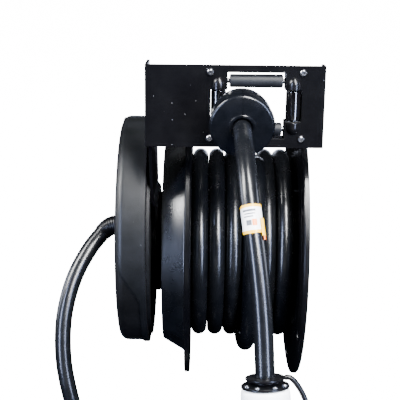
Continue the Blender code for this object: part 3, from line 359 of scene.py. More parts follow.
# Laminated vinyl of the cable's wrap, its ink and its coloured edges.
VINYL_WHITE = Finish(
    "white_vinyl", "connector_white", "#d9d9d6", "#ececea", Surface.PRINTED, 0.3,
    grain=2.0, relief=0.03, patch=9,
)
VINYL_YELLOW = Finish(
    "yellow_vinyl", "connector_white", "#e0a800", "#e8b400", Surface.PRINTED, 0.32,
    grain=2.0, relief=0.03, patch=9,
)
VINYL_ORANGE = Finish(
    "orange_vinyl", "connector_white", "#d8641a", "#e37a30", Surface.PRINTED, 0.32,
    grain=2.0, relief=0.03, patch=9,
)
INK = Finish(
    "grey_ink", "gland_plastic", "#3f4144", "#55585c", Surface.PRINTED, 0.45,
    grain=1.0, relief=0.01, patch=6,
)

# The finish of each material slot. Finishes that only new pieces wear are left out.
SLOT_FINISHES = {
    finish.slot: finish
    for finish in (
        POWDER_BLACK, POWDER_CHARCOAL, POWDER_PEEL, ENAMEL_BLACK, ZINC, STEEL, SPRING_STRIP,
        SHEATH, NYLON_GREY, STOP_RUBBER, NYLON_BLACK, NYLON_WHITE, BRASS, RESIN, CARBON,
    )
}


# ---------------------------------------------------------------- modelling helpers


def only(obj: bpy.types.Object | None) -> None:
    """Select one object alone and make it active, or nothing.

    Args:
        obj: The object, or None.
    """
    bpy.ops.object.select_all(action="DESELECT")
    if obj is not None:
        obj.select_set(True)
        bpy.context.view_layer.objects.active = obj


@contextmanager
def editing(obj: bpy.types.Object) -> Iterator[None]:
    """Hold an object in edit mode with all of it selected.

    Args:
        obj: The object to edit.
    """
    only(obj)
    bpy.ops.object.mode_set(mode="EDIT")
    bpy.ops.mesh.select_mode(type="VERT")
    bpy.ops.mesh.select_all(action="SELECT")
    yield
    bpy.ops.object.mode_set(mode="OBJECT")


def modify(obj: bpy.types.Object, kind: str, **settings: object) -> None:
    """Add a modifier and apply it.

    Args:
        obj: The object that takes it.
        kind: The modifier's type.
        settings: The modifier's properties.
    """
    only(obj)
    step = obj.modifiers.new(kind.lower(), kind)
    for name, value in settings.items():
        setattr(step, name, value)
    bpy.ops.object.modifier_apply(modifier=step.name)


def bevel(obj: bpy.types.Object, width: float, segments: int = 2, angle: float = 35) -> None:
    """Round the sharp edges of a piece.

    Args:
        obj: The piece.
        width: The round's width in millimetres.
        segments: How many strips make the round.
        angle: The least angle between faces, in degrees, that counts as sharp.
    """
    modify(
        obj, "BEVEL", width=width * MM, segments=segments, limit_method="ANGLE",
        angle_limit=math.radians(angle), use_clamp_overlap=True,
    )


def settle(obj: bpy.types.Object, matrix: Matrix) -> None:
    """Put a piece in its place and move that place into its mesh.

    Args:
        obj: The piece.
        matrix: Its place in the row frame.
    """
    obj.matrix_world = matrix
    only(obj)
    bpy.ops.object.transform_apply(location=True, rotation=True, scale=True)


def axle_point(x: float, y: float, z: float) -> Vector:
    """Return a point given in millimetres from the axle, in the row frame."""
    return AXLE + Vector((x, y, z)) * MM


def pointing(along: Along, x: float = 0, y: float = 0, z: float = 0) -> Matrix:
    """Return the place of a piece turned about Z, with its axis laid along a direction."""
    turns = {
        Along.X: Matrix.Rotation(math.radians(90), 4, "Y"),
        Along.Y: Matrix.Rotation(math.radians(-90), 4, "X"),
        Along.Z: Matrix.Identity(4),
    }
    return Matrix.Translation(axle_point(x, y, z)) @ turns[along]


def aimed(direction: Vector, start: Vector) -> Matrix:
    """Return the place whose Z runs along a direction from a start in the row frame."""
    return Matrix.Translation(start) @ Vector((0, 0, 1)).rotation_difference(direction).to_matrix().to_4x4()


def turned(
    name: str, profile: Profile, place: Matrix, sides: int, closed: bool = False
) -> bpy.types.Object:
    """Turn a piece by extruding and scaling a ring along Z.

    Args:
        name: The piece's name.
        profile: Radius and height pairs in millimetres, in order along the outline. A zero radius may only
            come first or last, and closes that end at its height.
        place: The piece's place in the row frame.
        sides: How many sides each ring has.
        closed: Whether the last ring joins the first, as on a piece with a bore.

    Returns:
        The piece.
    """
    rings = [point for point in profile if point[0] > 0]
    first_radius, base = rings[0]
    only(None)
    bpy.ops.mesh.primitive_circle_add(
        vertices=sides, radius=first_radius * MM, fill_type="NOTHING", location=(0, 0, base * MM)
    )
    obj = bpy.context.object
    obj.name = name
    obj.data.name = name
    with editing(obj):
        for (radius, height), (next_radius, next_height) in zip(rings, rings[1:]):
            bpy.ops.mesh.extrude_region_move(
                TRANSFORM_OT_translate={"value": (0, 0, (next_height - height) * MM)}
            )
            share = next_radius / radius
            bpy.ops.transform.resize(value=(share, share, 1), center_override=(0, 0, next_height * MM))
        if profile[-1][0] == 0:
            close_end((profile[-1][1] - rings[-1][1]) * MM)
        if closed:
            bpy.ops.mesh.select_all(action="DESELECT")
            bpy.ops.mesh.select_non_manifold()
            bpy.ops.mesh.bridge_edge_loops()
        elif profile[0][0] == 0:
            bpy.ops.mesh.select_all(action="DESELECT")
            bpy.ops.mesh.select_non_manifold()
            close_end((profile[0][1] - base) * MM)
        bpy.ops.mesh.select_all(action="SELECT")
        bpy.ops.mesh.normals_make_consistent(inside=False)
    settle(obj, place @ Matrix.Translation((0, 0, base * MM)))
    return obj


def close_end(rise: float) -> None:
    """Close the selected ring with a fan to its middle, that far along Z."""
    bpy.ops.mesh.extrude_region_move(TRANSFORM_OT_translate={"value": (0, 0, rise)})
    bpy.ops.mesh.merge(type="CENTER")


def refined(node: str, round_by: float = 0.5, segments: int = 2) -> bpy.types.Object:
    """Copy a CAD node, merge its triangles and round its sharp edges.

    Args:
        node: The CAD node's name.
        round_by: The rounds' width in millimetres.
        segments: How many strips make a round.

    Returns:
        The copy, which replaces the node.
    """
    source = frame["nodes"][node]
    obj = bpy.data.objects.new(f"{node}_finished", source.data.copy())
    bpy.context.scene.collection.objects.link(obj)
    obj.data.materials.clear()
    with editing(obj):
        bpy.ops.mesh.remove_doubles(threshold=WELD)
        bpy.ops.mesh.dissolve_limited(angle_limit=math.radians(1))
    bevel(obj, round_by, segments, 28)
    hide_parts(node)
    return obj


def cut(obj: bpy.types.Object, tools: Sequence[bpy.types.Object]) -> None:
    """Cut a piece by tools, which are then removed.

    Args:
        obj: The piece.
        tools: The cutting shapes.
    """
    for tool in tools:
        modify(obj, "BOOLEAN", operation="DIFFERENCE", solver="EXACT", object=tool)
        bpy.data.objects.remove(tool, do_unlink=True)


def joined(name: str, parts: Sequence[bpy.types.Object]) -> bpy.types.Object:
    """Join loose parts of one piece into one object.

    Args:
        name: The piece's name.
        parts: The parts.

    Returns:
        The piece.
    """
    only(parts[0])
    for part in parts:
        part.select_set(True)
    bpy.ops.object.join()
    parts[0].name = name
    return parts[0]


def smooth(route: Sequence[Sequence[float]], spacing: float) -> list[Vector]:
    """Read points an even step apart from a smooth curve through a route's points.

    Args:
        route: Points in millimetres from the axle.
        spacing: The step in millimetres.

    Returns:
        Points in the row frame.
    """
    knots = [axle_point(*point) for point in route]
    ends = [knots[0] * 2 - knots[1], *knots, knots[-1] * 2 - knots[-2]]
    found = []
    for a, b, c, d in zip(ends, ends[1:], ends[2:], ends[3:]):
        steps = max(1, round((c - b).length / (spacing * MM)))
        for step in range(steps):
            t = step / steps
            bent = (2 * a - 5 * b + 4 * c - d) * t * t + (3 * b - a - 3 * c + d) * t * t * t
            found.append(0.5 * (2 * b + (c - a) * t + bent))
    return [*found, knots[-1]]


def curve_tube(
    name: str,
    points: Sequence[Vector],
    radius: float,
    resolution: int = 8,
    tapers: Sequence[float] | None = None,
) -> bpy.types.Object:
    """Make a round tube along points.

    Args:
        name: The piece's name.
        points: The middle line in the row frame.
        radius: The tube's radius in millimetres.
        resolution: How round it is.
        tapers: A share of the radius for each point, or None.

    Returns:
        The tube, as a curve.
    """
    data = bpy.data.curves.new(name, "CURVE")
    data.dimensions = "3D"
    data.bevel_depth = radius * MM
    data.bevel_resolution = resolution
    data.use_fill_caps = True
    spline = data.splines.new("POLY")
    spline.points.add(len(points) - 1)
    for i, point in enumerate(points):
        spline.points[i].co = (*point, 1)
        spline.points[i].radius = tapers[i] if tapers else 1
    spline.use_smooth = True
    obj = bpy.data.objects.new(name, data)
    bpy.context.scene.collection.objects.link(obj)
    return obj


def meshed(obj: bpy.types.Object) -> bpy.types.Object:
    """Turn a curve piece into a mesh with its caps joined on.

    Args:
        obj: The curve piece.

    Returns:
        The same piece.
    """
    only(obj)
    bpy.ops.object.convert(target="MESH")
    with editing(obj):
        bpy.ops.mesh.remove_doubles(threshold=WELD)
        bpy.ops.mesh.normals_make_consistent(inside=False)
    return obj


def finished(
    obj: bpy.types.Object,
    finish: Finish,
    body: Body = Body.FRAME,
    replaces: Sequence[str] = (),
    angle: float = 32,
) -> bpy.types.Object:
    """Dress a piece, hang it on its body and report it.

    Args:
        obj: The piece.
        finish: Its finish.
        body: The body that it rides on.
        replaces: The CAD nodes that it stands for.
        angle: The angle in degrees below which faces shade as one surface.

    Returns:
        The piece.
    """
    obj.data.materials.clear()
    obj.data.materials.append(finish.material())
    if obj.type == "MESH":
        only(obj)
        bpy.ops.object.shade_smooth_by_angle(angle=math.radians(angle))
        modify(obj, "WEIGHTED_NORMAL", keep_sharp=True)
    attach(obj, body.value)
    if replaces:
        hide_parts(*replaces)
    LOG.info("%s on %s in %s", obj.name, body.value, finish.name)
    return obj


def polar(radius: float, degrees: float) -> tuple[float, float]:
    """Return the two coordinates of a point on a circle."""
    return radius * math.cos(math.radians(degrees)), radius * math.sin(math.radians(degrees))


# ---------------------------------------------------------------- studio


@dataclass
class Studio:
    """Camera, soft lights and a plain white floor."""

    sensor: float = 36.0
    focal_length: float = 996.0
    frame_width: float = 400.0
    distance: float = 1.15
    pitch: float = 17.0
    roll: float = 0.012
    below_middle: float = 50.0
    axle_drop: float = -9.0
    floor_z: float = -0.46
    floor_glow: float = 16.0

    def build(self) -> None:
        """Make the camera, the lights, the world and the floor."""
        self._camera()
        self._lights()
        self._floor()

    def _camera(self) -> None:
        """Place the camera in front of the drum, looking down at it."""
        tilt = math.radians(self.pitch)
        forward = Vector((0, math.cos(tilt), -math.sin(tilt)))
        up = Vector((0, math.sin(tilt), math.cos(tilt)))
        right = Vector((1, 0, 0))
        place = AXLE - forward * self.distance + up * (self.axle_drop / self.focal_length * self.distance)
        data = bpy.data.cameras.new("camera")
        data.sensor_width = self.sensor
        data.lens = self.sensor * self.focal_length / self.frame_width
        data.shift_y = self.below_middle / self.frame_width
        data.shift_x = math.sin(self.roll) * self.below_middle / self.frame_width
        camera = bpy.data.objects.new("camera", data)
        side = right * math.cos(self.roll) + up * math.sin(self.roll)
        top = up * math.cos(self.roll) - right * math.sin(self.roll)
        turn = Matrix((side, top, -forward)).transposed().to_4x4()
        camera.matrix_world = Matrix.Translation(place) @ turn
        bpy.context.scene.collection.objects.link(camera)
        bpy.context.scene.camera = camera

    def _lights(self) -> None:
        """Hang the soft boxes that shape the front, and weaker fills for the sides and the back."""
        world = bpy.data.worlds.new("room")
        world.use_nodes = True
        world.node_tree.nodes["Background"].inputs["Color"].default_value = linear("#ffffff")
        world.node_tree.nodes["Background"].inputs["Strength"].default_value = self.floor_glow
        # The room is white to look at and lights nothing, so the boxes alone shape the black pieces.
        world.cycles_visibility.diffuse = False
        world.cycles_visibility.glossy = False
        bpy.context.scene.world = world
        boxes = (
            ("left_box", (-1.2, -1.5, 0.3), (0.2, 1.4), 78, "#c4d4ff"),
            ("right_box", (1.0, -1.6, 0.3), (0.2, 1.4), 78, "#c4d4ff"),
            ("front_box", (0.5, -1.35, 1.4), (0.3, 1.9), 300, "#ffffff"),
            ("high_left_box", (-1.5, -0.65, 1.35), (0.5, 0.9), 130, "#ffffff"),
            ("left_fill", (-2.6, 0.3, 0.55), (1.4, 1.0), 45, "#e2eaff"),
            ("right_fill", (2.6, 0.3, 0.55), (1.4, 1.0), 45, "#e2eaff"),
            ("back_fill", (0.5, 2.6, 0.1), (1.8, 0.4), 14, "#e2eaff"),
            ("low_fill", (0, -1.9, -0.25), (2.0, 0.25), 2, "#ffffff"),
        )
        for name, place, size, power, colour in boxes:
            data = bpy.data.lights.new(name, "AREA")
            data.shape = "RECTANGLE"
            data.size, data.size_y = size
            data.energy = power
            data.color = linear(colour)[:3]
            lamp = bpy.data.objects.new(name, data)
            lamp.location = place
            lamp.visible_camera = False
            aim = AXLE - Vector(place)
            lamp.rotation_euler = aim.to_track_quat("-Z", "Y").to_euler()
            bpy.context.scene.collection.objects.link(lamp)

    def _floor(self) -> None:
        """Lay a plain glowing floor well below the reel."""
        only(None)
        bpy.ops.mesh.primitive_plane_add(size=60, location=(0, 0, self.floor_z))
        floor = bpy.context.object
        floor.name = "floor"
        made = bpy.data.materials.new("pale_floor")
        made.use_nodes = True
        shader = made.node_tree.nodes["Principled BSDF"]
        shader.inputs["Base Color"].default_value = linear("#ffffff")
        shader.inputs["Roughness"].default_value = 0.9
        shader.inputs["Emission Color"].default_value = linear("#ffffff")
        shader.inputs["Emission Strength"].default_value = self.floor_glow
        floor.data.materials.append(made)
        # A black reel over a bright floor goes grey underneath, so the floor's light stops at the floor.
        floor.visible_glossy = False
        floor.visible_diffuse = False


# ---------------------------------------------------------------- cords


@dataclass
class SupplyLead:
    """The lead to the mains: strain relief, lead with its tied coil, tie and plug."""

    route: tuple[tuple[float, float, float], ...] = (
        (-106.8, -53, 23.3),
        (-116.2, -60, 13),
        (-124.8, -69, 0.6),
        (-132, -77, -12.4),
        (-138, -85, -27.5),
        (-142.6, -93, -45),
        (-145.4, -100, -64),
        (-146, -106, -86),
        (-144.4, -111, -109),
        (-140.6, -114, -131),
        (-136, -115, -153),
        (-132, -115.5, -176),
        (-129.6, -116, -198),
        (-129, -116, -219),
    )
    coil_radius: float = 95.0
    coil_turns: int = 2
    stub: float = 66.3
    tail: float = 74.0
    cover_face: float = -88.0
    gland: tuple[float, float] = (-50.0, 32.0)
    flange_thick: float = 3.0
    relief_root: float = 11.2
    relief_base: float = 12.8
    plug_radius: float = 21.0
    plug_length: float = 62.0

    def build(self) -> None:
        lead = self._lead()
        relief = self._relief()
        clamps = [finished(refined(node, 0.5), NYLON_BLACK) for node in ("supply_gland", "supply_tie")]
        pieces = [relief, *clamps, *self._plug()]
        finished(lead, SHEATH, replaces=("supply_lead", "supply_coil"))

    def _lead(self) -> bpy.types.Object:
        """Lay the lead down its route, round the coil and down to the plug.

        Returns:
            The lead, as a curve.
        """
        points = smooth(self.route, 7)
        end_x, end_y, end_z = self.route[-1]
        points += [axle_point(end_x, end_y, end_z - self.stub * share) for share in (0.2, 0.4, 0.6, 0.8)]
        middle_x, middle_z = end_x + self.coil_radius, end_z - self.stub
        steps = 60 * self.coil_turns
        for i in range(steps + 1):
            share = i / steps
            x, z = polar(self.coil_radius, 180 + 360 * self.coil_turns * share)
            y = end_y + CABLE * self.coil_turns * share
            points.append(axle_point(middle_x + x, y, middle_z + z))
        y = end_y + CABLE * self.coil_turns
        points += [axle_point(end_x, y, middle_z - self.tail * share) for share in (0.15, 0.4, 0.7, 1.0)]
        return curve_tube("supply_flex", points, CABLE / 2, 8)

    @staticmethod
    def _length(cord: bpy.types.Object) -> float:
        """Return a curve piece's length along its points, in metres."""
        points = [Vector(point.co[:3]) for point in cord.data.splines[0].points]
        return sum((b - a).length for a, b in zip(points, points[1:]))

    def _relief(self) -> bpy.types.Object:
        """Make the tapered elbow with its ribs.

        Returns:
            The elbow.
        """
        start = axle_point(self.cover_face - GAP - 0.75 * self.flange_thick, *self.gland)
        end = axle_point(*self.route[0])
        onward = (axle_point(*self.route[1]) - end).normalized()
        end = end - onward * GAP * MM
        span = (end - start).length
        first = start + Vector((-0.4, 0, 0)) * span
        last = end - onward * 0.35 * span
        steps = 36
        points, tapers = [], []
        tip = (CABLE / 2 + 0.7) / self.relief_root
        for i in range(steps + 1):
            t = i / steps
            a, b, c = start.lerp(first, t), first.lerp(last, t), last.lerp(end, t)
            points.append(a.lerp(b, t).lerp(b.lerp(c, t), t))
            rib = 0.97 if 4 < i < 32 and i % 4 in (0, 1) else 1.0
            tapers.append((1 + (tip - 1) * t) * rib)
        sleeve = meshed(curve_tube("relief_sleeve", points, self.relief_root, 8, tapers))
        flange = turned(
            "relief_flange",
            [
                (0, 0), (10.5, 0), (12.2, 0.4), (self.relief_base, 1.2),
                (self.relief_base, self.flange_thick), (0, self.flange_thick),
            ],
            pointing(Along.X, self.cover_face - GAP - self.flange_thick, *self.gland),
            48,
        )
        piece = joined("relief_elbow", [sleeve, flange])
        return finished(piece, NYLON_BLACK, replaces=("supply_relief",))

    def _plug(self) -> list[bpy.types.Object]:
        """Make the plug's body, with a waist and grip rings, and its pins.

        Returns:
            The body and the pins.
        """
        x, y, z = self.route[-1]
        top = z - self.stub - self.tail - GAP
        radius, length = self.plug_radius, self.plug_length
        profile: list[tuple[float, float]] = [(0, 0), (9.6, 0), (10.8, -1), (11.2, -5)]
        for ring in range(4):
            start = -7 - ring * 3.2
            size = 12.2 + ring * 1.7
            profile += [(size, start), (size, start - 1.8), (size - 1, start - 2), (size - 1, start - 2.9)]
        profile += [(18.6, -21), (20.4, -25), (radius, -30), (radius, -41), (radius - 1, -42)]
        profile += [(radius - 1, -44), (radius, -45), (radius, 1.2 - length)]
        profile += [(radius - 1.2, -length), (0, -length)]
        body = turned("plug_body", profile, pointing(Along.Z, x, y + CABLE * self.coil_turns, top), 64)
        finished(body, NYLON_BLACK, replaces=("supply_plug",))
        pins = finished(refined("plug_pins", 0.4), BRASS)
        return [body, pins]


@dataclass
class PulledCable:
    """The cable that hangs from the ball stop, its wrap label and the connector on its end."""

    route: tuple[tuple[float, float, float], ...] = (
        (39, -171.9, 161.8),
        (39.3, -190, 157.3),
        (39.8, -209, 151),
        (40.6, -227, 142.2),
        (41.8, -243, 130),
        (43.6, -256.5, 114),
        (46, -267, 95),
        (49, -275.5, 74),
        (52, -282.5, 52),
        (54.6, -288.5, 29),
        (56.6, -293.8, 5),
        (58, -298.8, -19.2),
        (58.7, -301.6, -33.6),
    )
    label_from: float = 107.5
    label_to: float = 129.5
    disc_radius: float = 17.6
    collar_radius: float = 21.4
    screw_inset: float = 3.4
    body_radius: float = 22.0
    body_top: float = -10.1
    body_length: float = 64.5
    cap_radius: float = 23.5
    strap_run: float = 81.0

    def build(self) -> None:
        points = smooth(self.route, 5)
        cable = curve_tube("pulled_flex", points, CABLE / 2, 10)
        finished(cable, SHEATH, replaces=("pull_cable",))
        label = self._label(points)
        connector = [*self._gland(), self._body(), self._cap(), self._strap()]

    def _place(self) -> Matrix:
        """Return the connector's place, with -Z along the cable's last direction."""
        end, before = axle_point(*self.route[-1]), axle_point(*self.route[-2])
        onward = (end - before).normalized()
        turn = Vector((0, 0, -1)).rotation_difference(onward).to_matrix().to_4x4()
        return Matrix.Translation(end) @ turn

    def _label(self, points: Sequence[Vector]) -> list[bpy.types.Object]:
        """Wrap a white label with coloured edges, ink bars and a loose tail round the cable.

        Args:
            points: The cable's middle line.

        Returns:
            The label's pieces.
        """
        stations = self._stations(points)
        start, end = self.label_from, self.label_to
        # Each strip: where it starts and ends, how proud it stands, its first and last angle, its finish.
        strips = (
            ("label_wrap", start, end, 0.35, 0, 360, VINYL_WHITE),
            ("label_edge_top", start - 1.2, start + 1, 0.5, 0, 360, VINYL_YELLOW),
            ("label_edge_low", end - 1.4, end + 1.2, 0.5, 0, 360, VINYL_YELLOW),
            ("label_bar_1", start + 3, start + 4.7, 0.5, 215, 290, INK),
            ("label_bar_2", start + 6.1, start + 7.1, 0.5, 225, 285, INK),
            ("label_bar_3", start + 8.5, start + 9.5, 0.5, 220, 275, INK),
            ("label_bar_4", start + 12, start + 16.5, 0.5, 232, 262, INK),
            ("label_mark", start + 11.5, start + 17, 0.5, 266, 292, VINYL_ORANGE),
            ("label_tail", end - 11, end + 4, 1.5, 312, 348, VINYL_YELLOW),
            ("label_tip", end + 4.1, end + 7.5, 1.5, 322, 342, VINYL_ORANGE),
        )
        return [
            self._wrap(name, stations, first, last, CABLE / 2 + proud, low, high, finish)
            for name, first, last, proud, low, high, finish in strips
        ]

    @staticmethod
    def _stations(points: Sequence[Vector]) -> list[tuple[float, Vector, Vector]]:
        """List the length so far, the point and the direction along a line.

        Args:
            points: The line.

        Returns:
            Length in millimetres, point and unit direction for each point.
        """
        found, run = [], 0.0
        for i, point in enumerate(points):
            if i:
                run += (point - points[i - 1]).length / MM
            ahead = points[min(i + 1, len(points) - 1)] - points[max(i - 1, 0)]
            found.append((run, point, ahead.normalized()))
        return found

    @staticmethod
    def _wrap(
        name: str,
        stations: Sequence[tuple[float, Vector, Vector]],
        start: float,
        end: float,
        radius: float,
        low: float,
        high: float,
        finish: Finish,
    ) -> bpy.types.Object:
        """Bend a thin strip round the cable between two lengths and two angles.

        Args:
            name: The piece's name.
            stations: The cable's stations.
            start: The length where the strip starts, in millimetres.
            end: The length where it ends.
            radius: Its outer radius in millimetres.
            low: The angle where it starts, in degrees, with 270 facing the front.
            high: The angle where it ends.
            finish: Its finish.

        Returns:
            The strip.
        """
        rows = max(2, round((end - start) / 3) + 1)
        whole = high - low >= 360
        columns = max(4, round((high - low) / 7))
        only(None)
        bpy.ops.mesh.primitive_grid_add(x_subdivisions=columns, y_subdivisions=rows - 1, size=1)
        obj = bpy.context.object
        obj.name = name
        obj.data.name = name

        def line_at(length: float) -> tuple[Vector, Vector]:
            for (run_a, a, way_a), (run_b, b, way_b) in zip(stations, stations[1:]):
                if run_a <= length <= run_b:
                    share = (length - run_a) / (run_b - run_a)
                    return a.lerp(b, share), way_a.lerp(way_b, share).normalized()
            return stations[-1][1], stations[-1][2]

        for vertex in obj.data.vertices:
            across, down = vertex.co.x + 0.5, vertex.co.y + 0.5
            middle, way = line_at(start + (end - start) * down)
            side = Vector((1, 0, 0)) - way * way.x
            side.normalize()
            other = way.cross(side)
            if other.y > 0:
                other = -other
            a, b = polar(radius * MM, low + (high - low) * across)
            vertex.co = middle + side * a - other * b
        with editing(obj):
            if whole:
                bpy.ops.mesh.remove_doubles(threshold=2 * WELD)
            bpy.ops.mesh.normals_make_consistent(inside=False)
        outward = obj.data.polygons[0]
        middle, _ = line_at(start)
        if (outward.center - middle).dot(outward.normal) < 0:
            with editing(obj):
                bpy.ops.mesh.flip_normals()
        modify(obj, "SOLIDIFY", thickness=0.25 * MM, offset=-1.0)
        return finished(obj, finish, angle=50)

    def _gland(self) -> list[bpy.types.Object]:
        """Make the gland: thin disc, waisted neck and a collar with clamp screws.

        Returns:
            The gland and its screws.
        """
        r, place = self.collar_radius, self._place()
        body = turned(
            "gland_core",
            [
                (0, -0.3), (16.8, -0.3), (17.5, -0.7), (self.disc_radius, -1.5), (17.4, -2.3), (16.6, -2.8),
                (11, -3.2), (10, -4), (10, -5.4), (11, -6.2), (14, -6.8), (r - 0.8, -7.0), (r, -7.7),
                (r, -9.2), (r - 0.8, -9.8), (0, -9.8),
            ],
            place,
            72,
        )
        screws = []
        for degrees in (205, 245, 295, 335):
            a, b = polar(r - self.screw_inset, degrees)
            head = turned(
                "gland_screw",
                [(0, -6.3), (0.9, -6.3), (0.9, -5.8), (1.9, -5.8), (2.3, -6.2), (2.3, -7.4), (0, -7.4)],
                place @ Matrix.Translation((a * MM, b * MM, 0)),
                20,
            )
            screws.append(finished(head, ZINC))
        finished(body, NYLON_BLACK, replaces=("connector_gland",))
        return [body, *screws]

    def _body(self) -> bpy.types.Object:
        """Make the white connector body with its rounded shoulder and grip ribs."""
        r, top = self.body_radius, self.body_top
        profile: list[tuple[float, float]] = [(0, top), (18.5, top), (20, top - 0.5), (21.2, top - 1.8)]
        profile += [(r - 0.2, top - 4), (r, top - 7), (r, top - 30)]
        for rib in range(4):
            start = top - 32 - rib * 5
            profile += [(r, start), (r - 0.9, start - 0.5), (r - 0.9, start - 2), (r, start - 2.5)]
        profile += [(r, top - self.body_length), (0, top - self.body_length)]
        body = turned("connector_shell", profile, self._place(), 80)
        return finished(body, NYLON_WHITE, replaces=("connector_body",))

    def _cap(self) -> bpy.types.Object:
        """Make the dust cap with a bead round its mouth."""
        r, top = self.cap_radius, self.body_top - self.body_length - GAP
        profile = [
            (0, top), (r - 1, top), (r, top - 0.9), (r, top - 2.6), (r - 0.9, top - 3.4),
            (r - 0.9, top - 9.5), (r - 1.8, top - 12.2), (r - 4.2, top - 13.8), (0, top - 14),
        ]
        return finished(turned("cap_shell", profile, self._place(), 72), NYLON_BLACK, replaces=("dust_cap",))

    def _strap(self) -> bpy.types.Object:
        """Make the moulded strap from the gland's disc to the cap."""
        run = self.strap_run
        top_side, low_side, start = self.disc_radius + 0.6, self.cap_radius + 0.2, -1.55
        shape = [
            (top_side - 1, start), (top_side + 4, start - 0.3), (top_side + 10, start - 7),
            (top_side + 16, start - 19), (top_side + 20, start - 34), (top_side + 21, start - 50),
            (top_side + 18, start - 66), (low_side + 6, 1.2 - run), (low_side, -run),
        ]
        place = self._place()
        route = [(place @ Vector((x * MM, 0, z * MM)) - AXLE) / MM for x, z in shape]
        strap = curve_tube("cap_strap", smooth(route, 3), 2.5, 5)
        return finished(strap, NYLON_BLACK, replaces=("connector_strap",))


# ---------------------------------------------------------------- drum


@dataclass
class Windings:
    """The turns on the drum and the one that leaves it for the ball stop."""

    first: float = 0.3
    pitch: float = 18.0
    turns: int = 6
    outside: float = 107.0
    step_over: float = 40.0
    start_angle: float = 20.0
    slack: float = 0.05
    feed_sweep: float = 330.0
    feed_rise: float = 30.0
    feed_root: float = 88.0
    over: tuple[float, float, float] = (39.0, -118.0, 168.8)
    ball: tuple[float, float, float] = (39.0, -134.6, 171.2)
    ball_tilt: float = 14.0
    before_ball: float = 8.5
    into_ball: float = 8.0

    def build(self) -> None:
        """Wind the turns, then lead the last one out."""
        self._turns()
        self._feed()

    def _turns(self) -> None:
        """Wind round turns that each step over to the next at the back of the drum."""
        points = []
        per_turn = 96
        radius = self.outside - CABLE / 2
        for i in range(per_turn * self.turns + 1):
            turn, degrees = divmod(i * 360 / per_turn, 360)
            beyond = max(0.0, degrees - (360 - self.step_over)) / self.step_over
            share = beyond * beyond * (3 - 2 * beyond) if turn < self.turns - 1 else 0
            x = self.first + self.pitch * (min(turn, self.turns - 1) + share)
            y, z = polar(radius, degrees + self.start_angle)
            points.append(axle_point(x, y, z))
        coil = meshed(curve_tube("wound_turns", points, CABLE / 2 - self.slack, 8))
        finished(coil, SHEATH, Body.DRUM, ("wound_cable",), 60)

    def _feed(self) -> None:
        """Lead the outer turn up between the others, round them and over the roller into the ball stop."""
        radius = self.outside + CABLE / 2 + GAP
        over, ball = Vector(self.over), Vector(self.ball)
        reach = math.hypot(over.y, over.z)
        leave = math.degrees(math.atan2(over.z, over.y) - math.acos(radius / reach))
        start_x, leave_x = over.x + 1.3 * self.pitch, over.x + 3
        points = []
        steps = 110
        for i in range(steps + 1):
            share = i / steps
            buried = max(0.0, 1 - share * self.feed_sweep / self.feed_rise)
            out = radius - (radius - self.feed_root) * buried * buried
            y, z = polar(out, leave - self.feed_sweep * (1 - share))
            points.append((start_x + (leave_x - start_x) * share, y, z))
        last = Vector(points[-1])
        points += [tuple(last.lerp(over, share)) for share in (0.3, 0.6, 0.9)]
        tilt = math.radians(self.ball_tilt)
        way = Vector((0, -math.cos(tilt), -math.sin(tilt)))
        points += [tuple(ball - way * self.before_ball), tuple(ball + way * self.into_ball)]
        feed = meshed(curve_tube("feed_turn", smooth(points, 5), CABLE / 2, 8))
        finished(feed, SHEATH, Body.FRAME, ("feed_cable",), 60)


